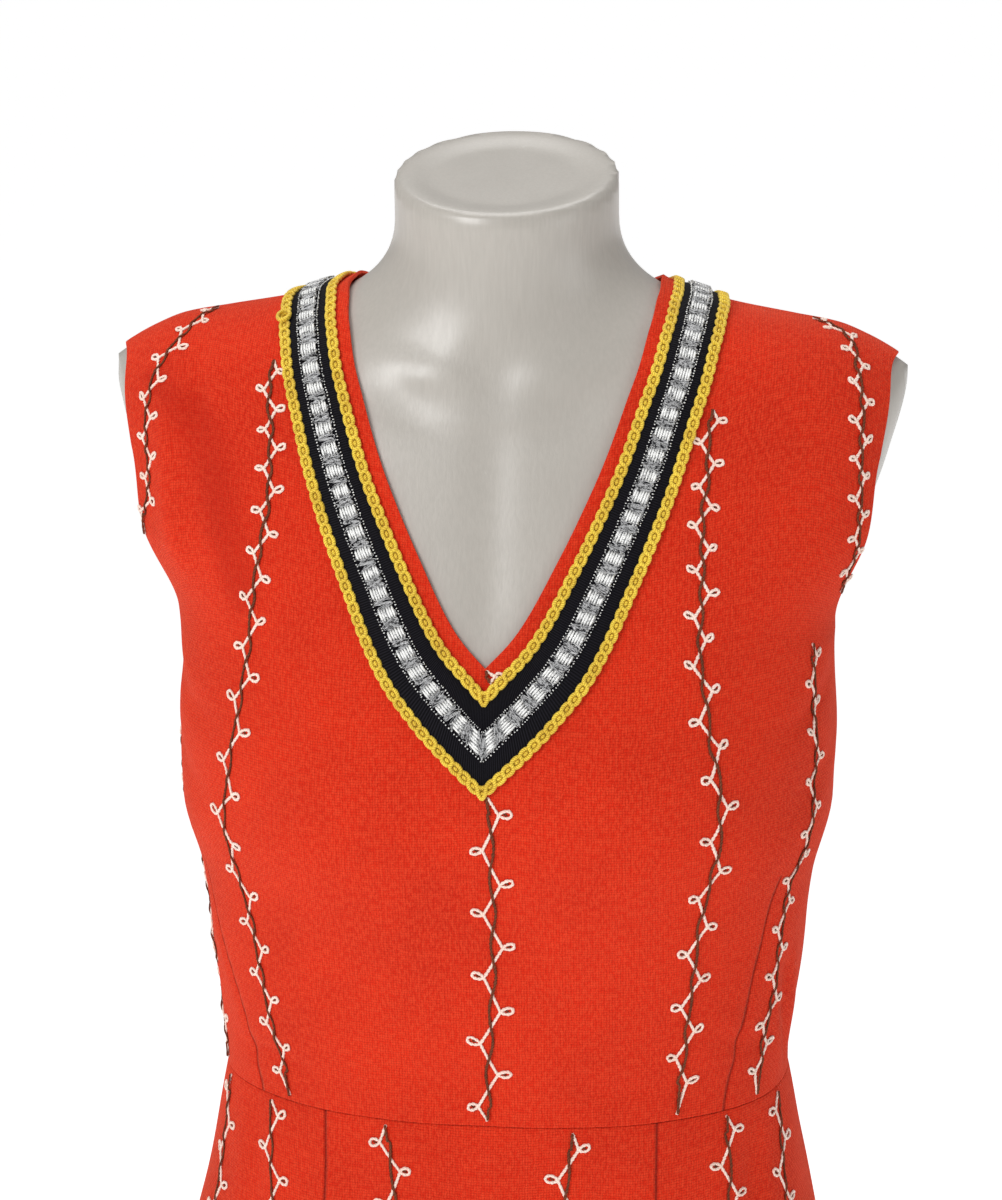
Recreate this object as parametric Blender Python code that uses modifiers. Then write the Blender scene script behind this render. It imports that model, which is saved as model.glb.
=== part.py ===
"""Wool folk dress with a braided V neck, standing on a limbless dress form.

Metres, +Z up, floor at z = 0, the front of the dress faces -Y.  The dress is cut as a front and a back
bodice and a front and a back skirt.  Ribbon and braids are sewn round the neck.  The form, its pole and
its base carry the dress.

Every cloth face is a function of an angle round the body, 0 at the front, and a level.
"""

import math
from typing import NamedTuple

import bpy
import numpy as np

COLLECTION_NAME = "folk_dress"

# Heights above the floor
HEM_Z = 0.420
FORM_BASE_Z = 0.800
WAIST_Z = 1.000
UNDERARM_Z = 1.236
FAN_Z = 1.330
NECK_CAP_Z = 1.467

# Cloth, ribbon and braid
WALL = 0.0016
SEAM_GAP = 0.0003
LAY_GAP = 0.00055
RIBBON_THICKNESS = 0.0010
YELLOW_THICKNESS = 0.0020
YELLOW_WIDTH = 0.0056
YELLOW_WAIST_WIDTH = 0.0044
YELLOW_PITCH = 0.0058
SILVER_THICKNESS = 0.0011
SILVER_BLOCK_HEIGHT = 0.0009
SILVER_WIDTH = 0.0104
SILVER_PITCH = 0.0105
SILVER_BLOCK_SHARE = 0.60
SILVER_BLOCK_RISE = 0.03
NECK_TO_BRAID_AT_V = 0.0103
NECK_TO_BRAID_AT_BACK = 0.0082
BRAID_SPACING_AT_V = 0.0323
BRAID_SPACING_AT_BACK = 0.0225
WIDENING_POWER = 2.6

# Stand
POLE_RADIUS = 0.0125
COLLAR_RADIUS = 0.032
COLLAR_HEIGHT = 0.030
BASE_RADIUS = 0.170
BASE_HEIGHT = 0.008
BASE_EDGE = 0.003
BASE_EDGE_CUT = 0.0009
HUB_RADIUS = 0.032
HUB_HEIGHT = 0.045
HUB_FLANGE_HEIGHT = 0.005
HUB_SHOULDER_HEIGHT = 0.018
SLEEVE_WALL = 0.005
COLLAR_FLANGE_HEIGHT = 0.005
COLLAR_TAPER = 0.003
STAND_SIDES = 40

# Mesh density
HALF_COLUMNS = 12
LOWER_ROWS = 10
UPPER_ROWS = 11
BACK_MIDDLE_ROWS = 5
SKIRT_ROWS = 10
RIBBON_STATIONS = 44
FORM_COLUMNS = 48
FORM_LOWER_ROWS = 13
FORM_UPPER_ROWS = 13
FORM_CAP_ROWS = 2
LINE_POINTS = 300
CLOSING_POWER = 1.6

# Ray casting on the body
BISECTIONS = 36
RAY_REACH = (0.02, 0.32)
RIM_LEVELS = (1.400, 1.470)
MITRE_REACH = math.radians(28)


class Section(NamedTuple):
    """One level of the dress form, and the room from it to the outer face of the dress."""

    height: float
    half_width: float
    front: float
    back: float
    squareness: float
    side_ease: float
    front_ease: float
    back_ease: float


class SkirtSection(NamedTuple):
    """One level of the skirt's outer face."""

    height: float
    half_width: float
    front: float
    back: float


class SkirtFold(NamedTuple):
    """A soft fold of the skirt: where its trough runs and how deep and wide it is at the hem."""

    degrees: float
    depth: float
    spread: float


SECTIONS = (
    Section(0.800, 0.1600, 0.1080, 0.1150, 2.3, 0.0160, 0.0120, 0.0120),
    Section(0.870, 0.1560, 0.1030, 0.1080, 2.3, 0.0110, 0.0100, 0.0100),
    Section(0.940, 0.1470, 0.0980, 0.0940, 2.3, 0.0070, 0.0060, 0.0070),
    Section(1.000, 0.1420, 0.0970, 0.0800, 2.3, 0.0060, 0.0050, 0.0060),
    Section(1.060, 0.1470, 0.1040, 0.0840, 2.3, 0.0070, 0.0040, 0.0050),
    Section(1.110, 0.1530, 0.1120, 0.0900, 2.3, 0.0055, 0.0030, 0.0040),
    Section(1.150, 0.1650, 0.1180, 0.0945, 2.3, 0.0035, 0.0030, 0.0035),
    Section(1.180, 0.1655, 0.1190, 0.0970, 2.4, 0.0035, 0.0030, 0.0032),
    Section(1.215, 0.1625, 0.1140, 0.1000, 2.5, 0.0046, 0.0030, 0.0030),
    Section(1.245, 0.1610, 0.1060, 0.1020, 2.6, 0.0070, 0.0030, 0.0030),
    Section(1.290, 0.1780, 0.0930, 0.0990, 2.8, 0.0130, 0.0028, 0.0028),
    Section(1.330, 0.1915, 0.0830, 0.0930, 3.0, 0.0052, 0.0026, 0.0026),
    Section(1.366, 0.1995, 0.0760, 0.0860, 3.0, 0.0038, 0.0022, 0.0022),
    Section(1.420, 0.1995, 0.0700, 0.0780, 3.0, 0.0038, 0.0022, 0.0022),
    Section(1.500, 0.1995, 0.0700, 0.0780, 3.0, 0.0038, 0.0022, 0.0022),
)

SKIRT_SECTIONS = (
    SkirtSection(0.420, 0.2620, 0.2250, 0.2250),
    SkirtSection(0.600, 0.2300, 0.1900, 0.1930),
    SkirtSection(0.760, 0.1980, 0.1500, 0.1580),
    SkirtSection(0.870, 0.1760, 0.1230, 0.1290),
    SkirtSection(0.940, 0.1600, 0.1090, 0.1060),
    SkirtSection(1.000, 0.1480, 0.1020, 0.0860),
)

SKIRT_FOLDS = (
    SkirtFold(22.0, 0.012, 15.0),
    SkirtFold(63.0, 0.015, 17.0),
    SkirtFold(116.0, 0.015, 17.0),
    SkirtFold(156.0, 0.012, 15.0),
)
SKIRT_POWER = 2.3
FOLD_OPENING_POWER = 1.5

# Height of the shoulder's ridge over the distance from the middle of the neck
SHOULDER_RIDGE = (
    (0.000, 1.420), (0.060, 1.412), (0.084, 1.4055), (0.110, 1.3980), (0.143, 1.3920),
    (0.165, 1.3880), (0.180, 1.3820), (0.192, 1.3755), (0.205, 1.3665), (0.260, 1.3320),
)
RIDGE_EASE = 0.0032
ARCH_START_Z = 1.236
ARCH_POWER = 4.0
DEPTH_POWER = 2.3
FIELD_SCALE = 0.09
FAN_REACH = 0.10

NECK_HALF_WIDTH = 0.0555
NECK_HALF_DEPTH = 0.0580
NECK_LEAN = 0.12
NECK_BASE_Z = 1.400
NECK_FOOT_Z = 1.350
NECK_CAP_SLOPE = 0.30
NECK_FLARE = 0.034

BUST_X = 0.074
BUST_Z = 1.168
BUST_FULLNESS = 0.011
BUST_SPREAD_X = 0.045
BUST_SPREAD_Z = 0.042

# Level of the neckline over the angle round the neck in degrees, from the V to the middle of the back
NECKLINE = (
    (0.0, 1.2380), (7.0, 1.2520), (19.5, 1.2885), (30.5, 1.3225), (45.5, 1.3690),
    (58.0, 1.3935), (72.0, 1.4065), (90.0, 1.4120), (125.0, 1.4060), (155.0, 1.4010), (180.0, 1.4000),
)
SHOULDER_TIP_LEVEL = 1.3536
ARMHOLE_FRONT_DEGREES = 12.5
ARMHOLE_BACK_DEGREES = 13.5
ARMHOLE_ROUNDNESS_BELOW = 0.90
ARMHOLE_ROUNDNESS_ABOVE = 0.65

SIDE = math.pi / 2
BACK = math.pi


def monotone(x, points):
    """Smooth curve through the points that never overshoots them."""
    px, py = np.asarray(points, float).T
    step = np.diff(px)
    slope = np.diff(py) / step
    same_way = slope[:-1] * slope[1:] > 0
    before = np.where(same_way, slope[:-1], 1.0)
    after = np.where(same_way, slope[1:], 1.0)
    weight_before = 2 * step[1:] + step[:-1]
    weight_after = step[1:] + 2 * step[:-1]
    mean = (weight_before + weight_after) / (weight_before / before + weight_after / after)
    tangent = np.concatenate([slope[:1], np.where(same_way, mean, 0.0), slope[-1:]])
    x = np.clip(x, px[0], px[-1])
    k = np.clip(np.searchsorted(px, x) - 1, 0, len(step) - 1)
    t = (x - px[k]) / step[k]
    start = (1 + 2 * t) * (1 - t) ** 2 * py[k] + t * (1 - t) ** 2 * step[k] * tangent[k]
    end = t * t * (3 - 2 * t) * py[k + 1] + t * t * (t - 1) * step[k] * tangent[k + 1]
    return start + end


def column(rows, field):
    """(height, value) pairs of one named column."""
    return [(row.height, getattr(row, field)) for row in rows]


def bust_fullness(x, z):
    """General fullness of the front at bust height."""
    across = (np.abs(x) - BUST_X) / BUST_SPREAD_X
    up = (z - BUST_Z) / BUST_SPREAD_Z
    return BUST_FULLNESS * np.exp(-0.5 * (across**2 + up**2))


def torso_field(x, y, z, ease):
    """Below zero inside the torso.  ease is 0 on the form and 1 on the outer face of the dress."""
    half = monotone(z, column(SECTIONS, "half_width")) + ease * monotone(z, column(SECTIONS, "side_ease"))
    front = monotone(z, column(SECTIONS, "front")) + ease * monotone(z, column(SECTIONS, "front_ease"))
    back = monotone(z, column(SECTIONS, "back")) + ease * monotone(z, column(SECTIONS, "back_ease"))
    depth = np.where(y < 0, front + bust_fullness(x, z), back)
    ridge = monotone(np.abs(x), SHOULDER_RIDGE) + ease * RIDGE_EASE
    rise = np.clip((z - ARCH_START_Z) / (ridge - ARCH_START_Z), 0.0, None)
    side = 1 - (np.abs(x) / half) ** monotone(z, column(SECTIONS, "squareness"))
    top = 1 - rise**ARCH_POWER
    cover = np.where((side > 0) & (top > 0), side * top, np.minimum(side, top))
    return (np.sqrt(np.maximum(1 + (np.abs(y) / depth) ** DEPTH_POWER - cover, 0.0)) - 1) * FIELD_SCALE


def neck_field(x, y, z, ease):
    """Below zero inside the neck, which leans a little to the front."""
    middle = -NECK_LEAN * (np.maximum(z, NECK_FOOT_Z) - NECK_BASE_Z)
    half_width = NECK_HALF_WIDTH + ease * RIDGE_EASE
    half_depth = NECK_HALF_DEPTH + ease * RIDGE_EASE
    beside = (np.hypot(x / half_width, (y - middle) / half_depth) - 1) * half_width
    return beside + np.maximum(NECK_FOOT_Z - z, 0.0)


def trunk_field(x, y, z, ease):
    """Torso and neck with a smooth flare between them."""
    torso = torso_field(x, y, z, ease)
    neck = neck_field(x, y, z, ease)
    share = np.clip(0.5 + 0.5 * (neck - torso) / NECK_FLARE, 0.0, 1.0)
    return neck * (1 - share) + torso * share - NECK_FLARE * share * (1 - share)


def cap_field(y, z):
    """Below zero under the sloping cap of the neck."""
    return z - NECK_CAP_Z - NECK_CAP_SLOPE * y


def body_points(angle, level, ease):
    """Points of the form (ease 0) or of the dress (ease 1).

    A level up to FAN_Z is a height.  Above that the rays fan upwards from one point on the axis.
    """
    angle, level = np.broadcast_arrays(np.asarray(angle, float), np.asarray(level, float))
    origin_z = np.minimum(level, FAN_Z)
    tilt = np.maximum(level - FAN_Z, 0.0) / FAN_REACH
    dx = np.sin(angle) * np.cos(tilt)
    dy = -np.cos(angle) * np.cos(tilt)
    dz = np.sin(tilt)
    near = np.full(angle.shape, RAY_REACH[0])
    far = np.full(angle.shape, RAY_REACH[1])
    for _ in range(BISECTIONS):
        middle = 0.5 * (near + far)
        x, y, z = dx * middle, dy * middle, origin_z + dz * middle
        inside = np.maximum(trunk_field(x, y, z, ease), cap_field(y, z)) < 0
        near = np.where(inside, middle, near)
        far = np.where(inside, far, middle)
    return np.stack([dx * near, dy * near, origin_z + dz * near], axis=-1)


def bodice_face(angle, level):
    """Outer face of the bodice."""
    return body_points(angle, level, 1.0)


def skirt_face(angle, level):
    """Outer face of the skirt, with soft folds that open towards the hem."""
    angle, level = np.broadcast_arrays(np.asarray(angle, float), np.asarray(level, float))
    half = monotone(level, column(SKIRT_SECTIONS, "half_width"))
    front = monotone(level, column(SKIRT_SECTIONS, "front"))
    back = monotone(level, column(SKIRT_SECTIONS, "back"))
    sine, cosine = np.sin(angle), np.cos(angle)
    depth = np.where(cosine > 0, front, back)
    across = (np.abs(sine) / half) ** SKIRT_POWER + (np.abs(cosine) / depth) ** SKIRT_POWER
    radius = across ** (-1 / SKIRT_POWER)
    around = np.degrees(np.arccos(np.clip(cosine, -1.0, 1.0)))
    opening = np.clip((WAIST_Z - level) / (WAIST_Z - HEM_Z), 0.0, 1.0) ** FOLD_OPENING_POWER
    for fold in SKIRT_FOLDS:
        radius = radius - opening * fold.depth * np.exp(-2.0 * ((around - fold.degrees) / fold.spread) ** 2)
    return np.stack([sine * radius, -cosine * radius, level], axis=-1)


def locate(point):
    """(angle, level) of the ray through each point."""
    x, y, z = np.moveaxis(np.asarray(point, float), -1, 0)
    tilt = np.arctan2(z - FAN_Z, np.hypot(x, y))
    return np.arctan2(x, -y), np.where(z > FAN_Z, FAN_Z + FAN_REACH * tilt, z)


def outward(face, angle, level):
    """Outward unit normals of a face."""
    step = 2e-5
    along = face(angle + step, level) - face(angle - step, level)
    up = face(angle, level + step) - face(angle, level - step)
    normal = np.cross(along, up)
    return normal / np.linalg.norm(normal, axis=-1, keepdims=True)


def unit(vectors):
    """Vectors of length one."""
    return vectors / np.linalg.norm(vectors, axis=-1, keepdims=True)


def lengths_along(points):
    """Distance along a line of points."""
    return np.concatenate([[0.0], np.cumsum(np.linalg.norm(np.diff(points, axis=0), axis=1))])


def angles_along(first, last, level_of, shares):
    """Angles at shares of the length of a line on the bodice.  level_of gives the line's level."""
    fine = np.linspace(first, last, LINE_POINTS)
    length = lengths_along(bodice_face(fine, level_of(fine)))
    return np.interp(np.asarray(shares) * length[-1], length, fine)


def closing_shares(count):
    """Shares from 0 to 1 that lie closer together towards 1, for rows near the shoulder seam."""
    return 1 - (1 - np.linspace(0.0, 1.0, count)) ** CLOSING_POWER


def neck_level(angle):
    """Level of the neckline at an angle round the neck."""
    return monotone(np.degrees(np.abs(angle)), NECKLINE)


def seam_limit(level, face):
    """How near to the side an angle may come, so that the front and the back stay apart."""
    side_x = face(np.full(np.shape(level), SIDE), level)[..., 0]
    return SIDE - 0.5 * SEAM_GAP / side_x


def armhole(shares, depth_degrees):
    """(offset from the side, level) of the armhole from the underarm to the shoulder tip."""
    turn = math.pi * (1 - shares)
    middle = 0.5 * (SHOULDER_TIP_LEVEL + UNDERARM_Z)
    reach = 0.5 * (SHOULDER_TIP_LEVEL - UNDERARM_Z)
    roundness = ARMHOLE_ROUNDNESS_BELOW * (1 - shares) + ARMHOLE_ROUNDNESS_ABOVE * shares
    offset = math.radians(depth_degrees) * np.maximum(np.sin(turn), 0.0) ** roundness
    return offset, middle + reach * np.cos(turn)


def bodice_grid(inner_angle, inner_level, armhole_degrees, facing):
    """Half of a bodice piece as (angle, level) rows from the waist to the shoulder.

    inner_angle and inner_level follow the middle and the neckline above the underarm.  facing is 0 on the
    front piece and 1 on the back piece.
    """
    share = np.linspace(0.0, 1.0, HALF_COLUMNS + 1)
    offset, arm_level = armhole(closing_shares(UPPER_ROWS + 1), armhole_degrees)
    arm_angle = SIDE - offset if facing == 0 else SIDE + offset
    upper_angle = inner_angle[:, None] * (1 - share) + arm_angle[:, None] * share
    upper_level = inner_level[:, None] * (1 - share) + arm_level[:, None] * share
    rise = np.linspace(0.0, 1.0, LOWER_ROWS + 1)[:-1, None]
    lower_angle = np.broadcast_to(upper_angle[0], (LOWER_ROWS, HALF_COLUMNS + 1))
    waist = WAIST_Z + 0.5 * SEAM_GAP
    lower_level = waist * (1 - rise) + upper_level[0] * rise
    angle = np.concatenate([lower_angle, upper_angle])
    level = np.concatenate([lower_level, upper_level])
    limit = seam_limit(level, bodice_face)
    if facing == 0:
        return np.minimum(angle, limit), level
    return np.maximum(angle, math.pi - limit), level


def front_bodice_grid():
    """Half of the front bodice."""
    angle = angles_along(0.0, SIDE, neck_level, closing_shares(UPPER_ROWS + 1))
    return bodice_grid(angle, neck_level(angle), ARMHOLE_FRONT_DEGREES, 0)


def back_bodice_grid():
    """Half of the back bodice, whose middle runs straight up to the neckline."""
    rising = np.linspace(UNDERARM_Z, neck_level(BACK), BACK_MIDDLE_ROWS + 1)[:-1]
    shares = closing_shares(UPPER_ROWS + 1 - BACK_MIDDLE_ROWS)
    angle = angles_along(BACK, SIDE, neck_level, shares)
    inner_angle = np.concatenate([np.full(BACK_MIDDLE_ROWS, BACK), angle])
    inner_level = np.concatenate([rising, neck_level(angle)])
    return bodice_grid(inner_angle, inner_level, ARMHOLE_BACK_DEGREES, 1)


def skirt_grid(facing):
    """Half of a skirt piece, from the waist down to the hem."""
    top = WAIST_Z - 0.5 * SEAM_GAP
    level = np.linspace(top, HEM_Z, SKIRT_ROWS + 1)[:, None] * np.ones(HALF_COLUMNS + 1)
    share = np.linspace(0.0, 1.0, HALF_COLUMNS + 1)
    limit = seam_limit(level, skirt_face)
    angle = limit * share
    return (math.pi - angle if facing == 1 else angle), level


def new_object(name, mesh):
    """Object in the dress's collection."""
    obj = bpy.data.objects.new(name, mesh)
    bpy.data.collections[COLLECTION_NAME].objects.link(obj)
    return obj


def mirrored(obj):
    """The other half of a piece that is open at x = 0."""
    mirror = obj.modifiers.new("Mirror", "MIRROR")
    mirror.use_clip = True
    mirror.merge_threshold = 0.00005
    return obj


def sheet_faces(count_rows, count_columns, start, flip):
    """Quads of a grid of points that begins at index start."""
    faces = []
    for r in range(count_rows - 1):
        for c in range(count_columns - 1):
            a = start + r * count_columns + c
            quad = (a, a + 1, a + 1 + count_columns, a + count_columns)
            faces.append(quad[::-1] if flip else quad)
    return faces


def wall(name, face, angle, level, open_rows, flip):
    """Half of a cloth wall between its outer face and its inner face, WALL apart.

    The first column stays open over the first open_rows rows, where the other half joins it.
    """
    rows, columns = angle.shape
    outer = face(angle, level)
    inner = outer - WALL * outward(face, angle, level)
    outer[:open_rows, 0, 0] = 0.0
    inner[:open_rows, 0, 0] = 0.0
    count = rows * columns
    faces = sheet_faces(rows, columns, 0, flip) + sheet_faces(rows, columns, count, not flip)
    index = np.arange(count).reshape(rows, columns)
    edge = [*index[0, :], *index[1:, -1], *index[-1, -2::-1]]
    edge += [index[r, 0] for r in range(rows - 2, open_rows - 2, -1)]
    for a, b in zip(edge[:-1], edge[1:]):
        quad = (int(b), int(a), int(a) + count, int(b) + count)
        faces.append(quad[::-1] if flip else quad)
    mesh = bpy.data.meshes.new(name)
    points = np.concatenate([outer.reshape(-1, 3), inner.reshape(-1, 3)])
    mesh.from_pydata(points.tolist(), [], faces)
    mesh.validate()
    mesh.shade_smooth()
    mesh.set_sharp_from_angle(angle=math.radians(50))
    return mirrored(new_object(name, mesh))


class Trim(NamedTuple):
    """Two edge lines of a trim on the bodice, as (angle, level) from the V to the middle of the back."""

    inner: np.ndarray
    outer: np.ndarray


def leg_level(angle):
    """Level of one leg of the neckline, which runs straight on past the V at angles below zero."""
    (first, v_level), (second, next_level) = NECKLINE[:2]
    past = v_level + np.degrees(angle) * (next_level - v_level) / (second - first)
    return np.where(angle < 0, past, neck_level(angle))


def offset_line(distance_at_v, distance_at_back, steps=8):
    """Line on the bodice at a distance from the neckline, mitred at the V."""
    angle = np.linspace(-MITRE_REACH, BACK, LINE_POINTS)
    level = leg_level(angle)
    start = bodice_face(angle, level)
    length = lengths_along(start)
    past_v = length - np.interp(0.0, angle, length)
    share = np.clip(past_v / past_v[-1], 0.0, 1.0)
    distance = distance_at_back + (distance_at_v - distance_at_back) * (1 - share) ** WIDENING_POWER
    across = np.cross(unit(np.gradient(start, axis=0)), outward(bodice_face, angle, level))
    for _ in range(steps):
        normal = outward(bodice_face, angle, level)
        across = unit(across - np.sum(across * normal, axis=1, keepdims=True) * normal)
        moved = bodice_face(angle, level) + across * (distance / steps)[:, None]
        angle, level = locate(moved)
        angle = np.where(angle < -SIDE, angle + 2 * math.pi, angle)
    first = np.flatnonzero(angle < 0)[-1]
    cut = angle[first] / (angle[first] - angle[first + 1])
    v_level = level[first] + cut * (level[first + 1] - level[first])
    line = np.stack([angle[first + 1 :], level[first + 1 :]], axis=1)
    line = np.concatenate([[[0.0, v_level]], line])
    line[-1, 0] = BACK
    return line


def spaced(line, shares):
    """Points of an (angle, level) line at shares of its length on the bodice."""
    length = lengths_along(bodice_face(line[:, 0], line[:, 1]))
    at = np.asarray(shares) * length[-1]
    return np.stack([np.interp(at, length, line[:, 0]), np.interp(at, length, line[:, 1])], axis=1)


def trim_between(v_inner, v_outer, back_inner, back_outer, shares):
    """Trim whose edges lie at given distances from the neckline at the V and at the back."""
    inner = spaced(offset_line(v_inner, back_inner), shares)
    return Trim(inner, spaced(offset_line(v_outer, back_outer), shares))


def trim_length(v_distance, back_distance):
    """Length of half of a line at a distance from the neckline."""
    line = offset_line(v_distance, back_distance)
    return lengths_along(bodice_face(line[:, 0], line[:, 1]))[-1]


def strip(name, trim, across, height):
    """Half of a trim, lofted along the neckline.

    across and height hold one row for each station and one column for each point of its section, which
    runs round the section from the bottom at the inner edge.
    """
    stations, corners = across.shape
    place = trim.inner[:, None, :] * (1 - across[..., None]) + trim.outer[:, None, :] * across[..., None]
    angle, level = place[..., 0], place[..., 1]
    points = bodice_face(angle, level) + outward(bodice_face, angle, level) * height[..., None]
    points[0, :, 0] = 0.0
    points[-1, :, 0] = 0.0
    faces = []
    for s in range(stations - 1):
        for c in range(corners):
            after = (c + 1) % corners
            a, b = s * corners + c, s * corners + after
            faces.append((a, a + corners, b + corners, b))
    mesh = bpy.data.meshes.new(name)
    mesh.from_pydata(points.reshape(-1, 3).tolist(), [], faces)
    mesh.validate()
    mesh.shade_smooth()
    mesh.set_sharp_from_angle(angle=math.radians(40))
    return mirrored(new_object(name, mesh))


def flat_section(stations, bottom, top):
    """Rectangular section at every station."""
    across = np.tile([0.0, 1.0, 1.0, 0.0], (stations, 1))
    height = np.tile([bottom, bottom, top, top], (stations, 1))
    return across, height


def braid_distances():
    """(at the V, at the back) of the middle of the inner and of the outer yellow braid."""
    inner = (NECK_TO_BRAID_AT_V, NECK_TO_BRAID_AT_BACK)
    outer = (NECK_TO_BRAID_AT_V + BRAID_SPACING_AT_V, NECK_TO_BRAID_AT_BACK + BRAID_SPACING_AT_BACK)
    return inner, outer


def ribbon():
    """Black ribbon between the yellow braids."""
    inner, outer = braid_distances()
    edge = YELLOW_WIDTH / 2 + SEAM_GAP
    shares = np.linspace(0.0, 1.0, RIBBON_STATIONS)
    trim = trim_between(inner[0] + edge, outer[0] - edge, inner[1] + edge, outer[1] - edge, shares)
    return strip("ribbon_black", trim, *flat_section(RIBBON_STATIONS, LAY_GAP, LAY_GAP + RIBBON_THICKNESS))


def yellow_braid(name, middle):
    """Yellow gimp braid with a scalloped edge, raised along its middle."""
    half = YELLOW_WIDTH / 2
    pitches = round(trim_length(*middle) / YELLOW_PITCH)
    stations = 2 * pitches + 1
    shares = np.linspace(0.0, 1.0, stations)
    trim = trim_between(middle[0] - half, middle[0] + half, middle[1] - half, middle[1] + half, shares)
    notch = 0.5 * (1 - YELLOW_WAIST_WIDTH / YELLOW_WIDTH)
    inset = np.where(np.arange(stations) % 2 == 1, 0.0, notch)
    across = np.stack([inset, 1 - inset, np.full(stations, 0.5)], axis=1)
    height = np.tile([LAY_GAP, LAY_GAP, LAY_GAP + YELLOW_THICKNESS], (stations, 1))
    return strip(name, trim, across, height)


def silver_braid():
    """Silver braid on the middle of the ribbon, with a raised block at every pitch."""
    inner, outer = braid_distances()
    middle = (0.5 * (inner[0] + outer[0]), 0.5 * (inner[1] + outer[1]))
    half = SILVER_WIDTH / 2
    pitches = round(trim_length(*middle) / SILVER_PITCH)
    low = 0.5 * (1 - SILVER_BLOCK_SHARE)
    steps = ((low, 0), (low + SILVER_BLOCK_RISE, 1), (1 - low - SILVER_BLOCK_RISE, 1), (1 - low, 0))
    blocks = [((p + at) / pitches, up) for p in range(pitches) for at, up in steps]
    marks = [(0.0, 0), *blocks, (1.0, 0)]
    shares, raised = np.array(marks).T
    trim = trim_between(middle[0] - half, middle[0] + half, middle[1] - half, middle[1] + half, shares)
    bottom = 2 * LAY_GAP + RIBBON_THICKNESS
    across, height = flat_section(len(shares), bottom, bottom + SILVER_THICKNESS)
    height[:, 2:] += SILVER_BLOCK_HEIGHT * raised[:, None]
    return strip("braid_silver", trim, across, height)


def rim_level(angle):
    """Level at which the side of the neck meets its cap."""
    low = np.full(angle.shape, RIM_LEVELS[0])
    high = np.full(angle.shape, RIM_LEVELS[1])
    for _ in range(BISECTIONS):
        middle = 0.5 * (low + high)
        x, y, z = np.moveaxis(body_points(angle, middle, 0.0), -1, 0)
        on_side = trunk_field(x, y, z, 0.0) > cap_field(y, z)
        low = np.where(on_side, middle, low)
        high = np.where(on_side, high, middle)
    return low


def form_torso():
    """Limbless torso with its neck, closed below and by the sloping cap."""
    angle = np.linspace(-math.pi, math.pi, FORM_COLUMNS, endpoint=False)
    lower = np.linspace(FORM_BASE_Z, FAN_Z, FORM_LOWER_ROWS)[:, None] * np.ones(FORM_COLUMNS)
    rim = rim_level(angle)
    climb = np.linspace(0.0, 1.0, FORM_UPPER_ROWS + 1)[1:, None]
    upper = FAN_Z + climb * (rim - FAN_Z)
    summit = FAN_Z + FAN_REACH * math.pi / 2
    fill = np.linspace(0.0, 1.0, FORM_CAP_ROWS + 1)[1:-1, None]
    cap = rim + fill * (summit - rim)
    level = np.concatenate([lower, upper, cap])
    rows = len(level)
    points = body_points(np.broadcast_to(angle, level.shape), level, 0.0).reshape(-1, 3)
    ends = [[0.0, 0.0, FORM_BASE_Z], [0.0, 0.0, NECK_CAP_Z]]
    bottom, top = rows * FORM_COLUMNS, rows * FORM_COLUMNS + 1
    faces = []
    for c in range(FORM_COLUMNS):
        after = (c + 1) % FORM_COLUMNS
        faces.append((bottom, after, c))
        faces.append((top, (rows - 1) * FORM_COLUMNS + c, (rows - 1) * FORM_COLUMNS + after))
        for r in range(rows - 1):
            a, b = r * FORM_COLUMNS + c, r * FORM_COLUMNS + after
            faces.append((a, b, b + FORM_COLUMNS, a + FORM_COLUMNS))
    mesh = bpy.data.meshes.new("form_torso")
    mesh.from_pydata(np.concatenate([points, ends]).tolist(), [], faces)
    mesh.validate()
    mesh.shade_smooth()
    mesh.set_sharp_from_angle(angle=math.radians(50))
    return new_object("form_torso", mesh)


def turned(name, profile):
    """Turned piece from a profile of (radius, height) points, from the top of its axis to the bottom."""
    mesh = bpy.data.meshes.new(name)
    points = [(radius, 0.0, height) for radius, height in profile]
    mesh.from_pydata(points, [(i, i + 1) for i in range(len(points) - 1)], [])
    obj = new_object(name, mesh)
    screw = obj.modifiers.new("Screw", "SCREW")
    screw.steps = STAND_SIDES
    screw.render_steps = STAND_SIDES
    screw.use_merge_vertices = True
    screw.merge_threshold = 0.00005
    screw.use_smooth_shade = True
    return obj


def stand_base():
    """Round base plate with a softened upper edge."""
    return turned("stand_base", (
        (0.0, BASE_HEIGHT), (BASE_RADIUS - BASE_EDGE, BASE_HEIGHT),
        (BASE_RADIUS - BASE_EDGE_CUT, BASE_HEIGHT - BASE_EDGE_CUT),
        (BASE_RADIUS, BASE_HEIGHT - BASE_EDGE), (BASE_RADIUS, 0.0), (0.0, 0.0),
    ))


def stand_hub():
    """Cone that stiffens the foot of the pole."""
    foot = BASE_HEIGHT + SEAM_GAP
    bore = POLE_RADIUS + SEAM_GAP
    return turned("stand_hub", (
        (bore, foot + HUB_HEIGHT), (bore + SLEEVE_WALL, foot + HUB_HEIGHT),
        (bore + SLEEVE_WALL, foot + HUB_SHOULDER_HEIGHT), (HUB_RADIUS, foot + HUB_FLANGE_HEIGHT),
        (HUB_RADIUS, foot), (bore, foot), (bore, foot + HUB_HEIGHT),
    ))


def stand_collar():
    """Flange that carries the form on the pole."""
    top = FORM_BASE_Z - SEAM_GAP
    bore = POLE_RADIUS + SEAM_GAP
    low = top - COLLAR_HEIGHT
    flange = top - COLLAR_FLANGE_HEIGHT
    return turned("stand_collar", (
        (bore, top), (COLLAR_RADIUS, top), (COLLAR_RADIUS, flange), (bore + SLEEVE_WALL, flange - COLLAR_TAPER),
        (bore + SLEEVE_WALL, low), (bore, low), (bore, top),
    ))


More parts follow.
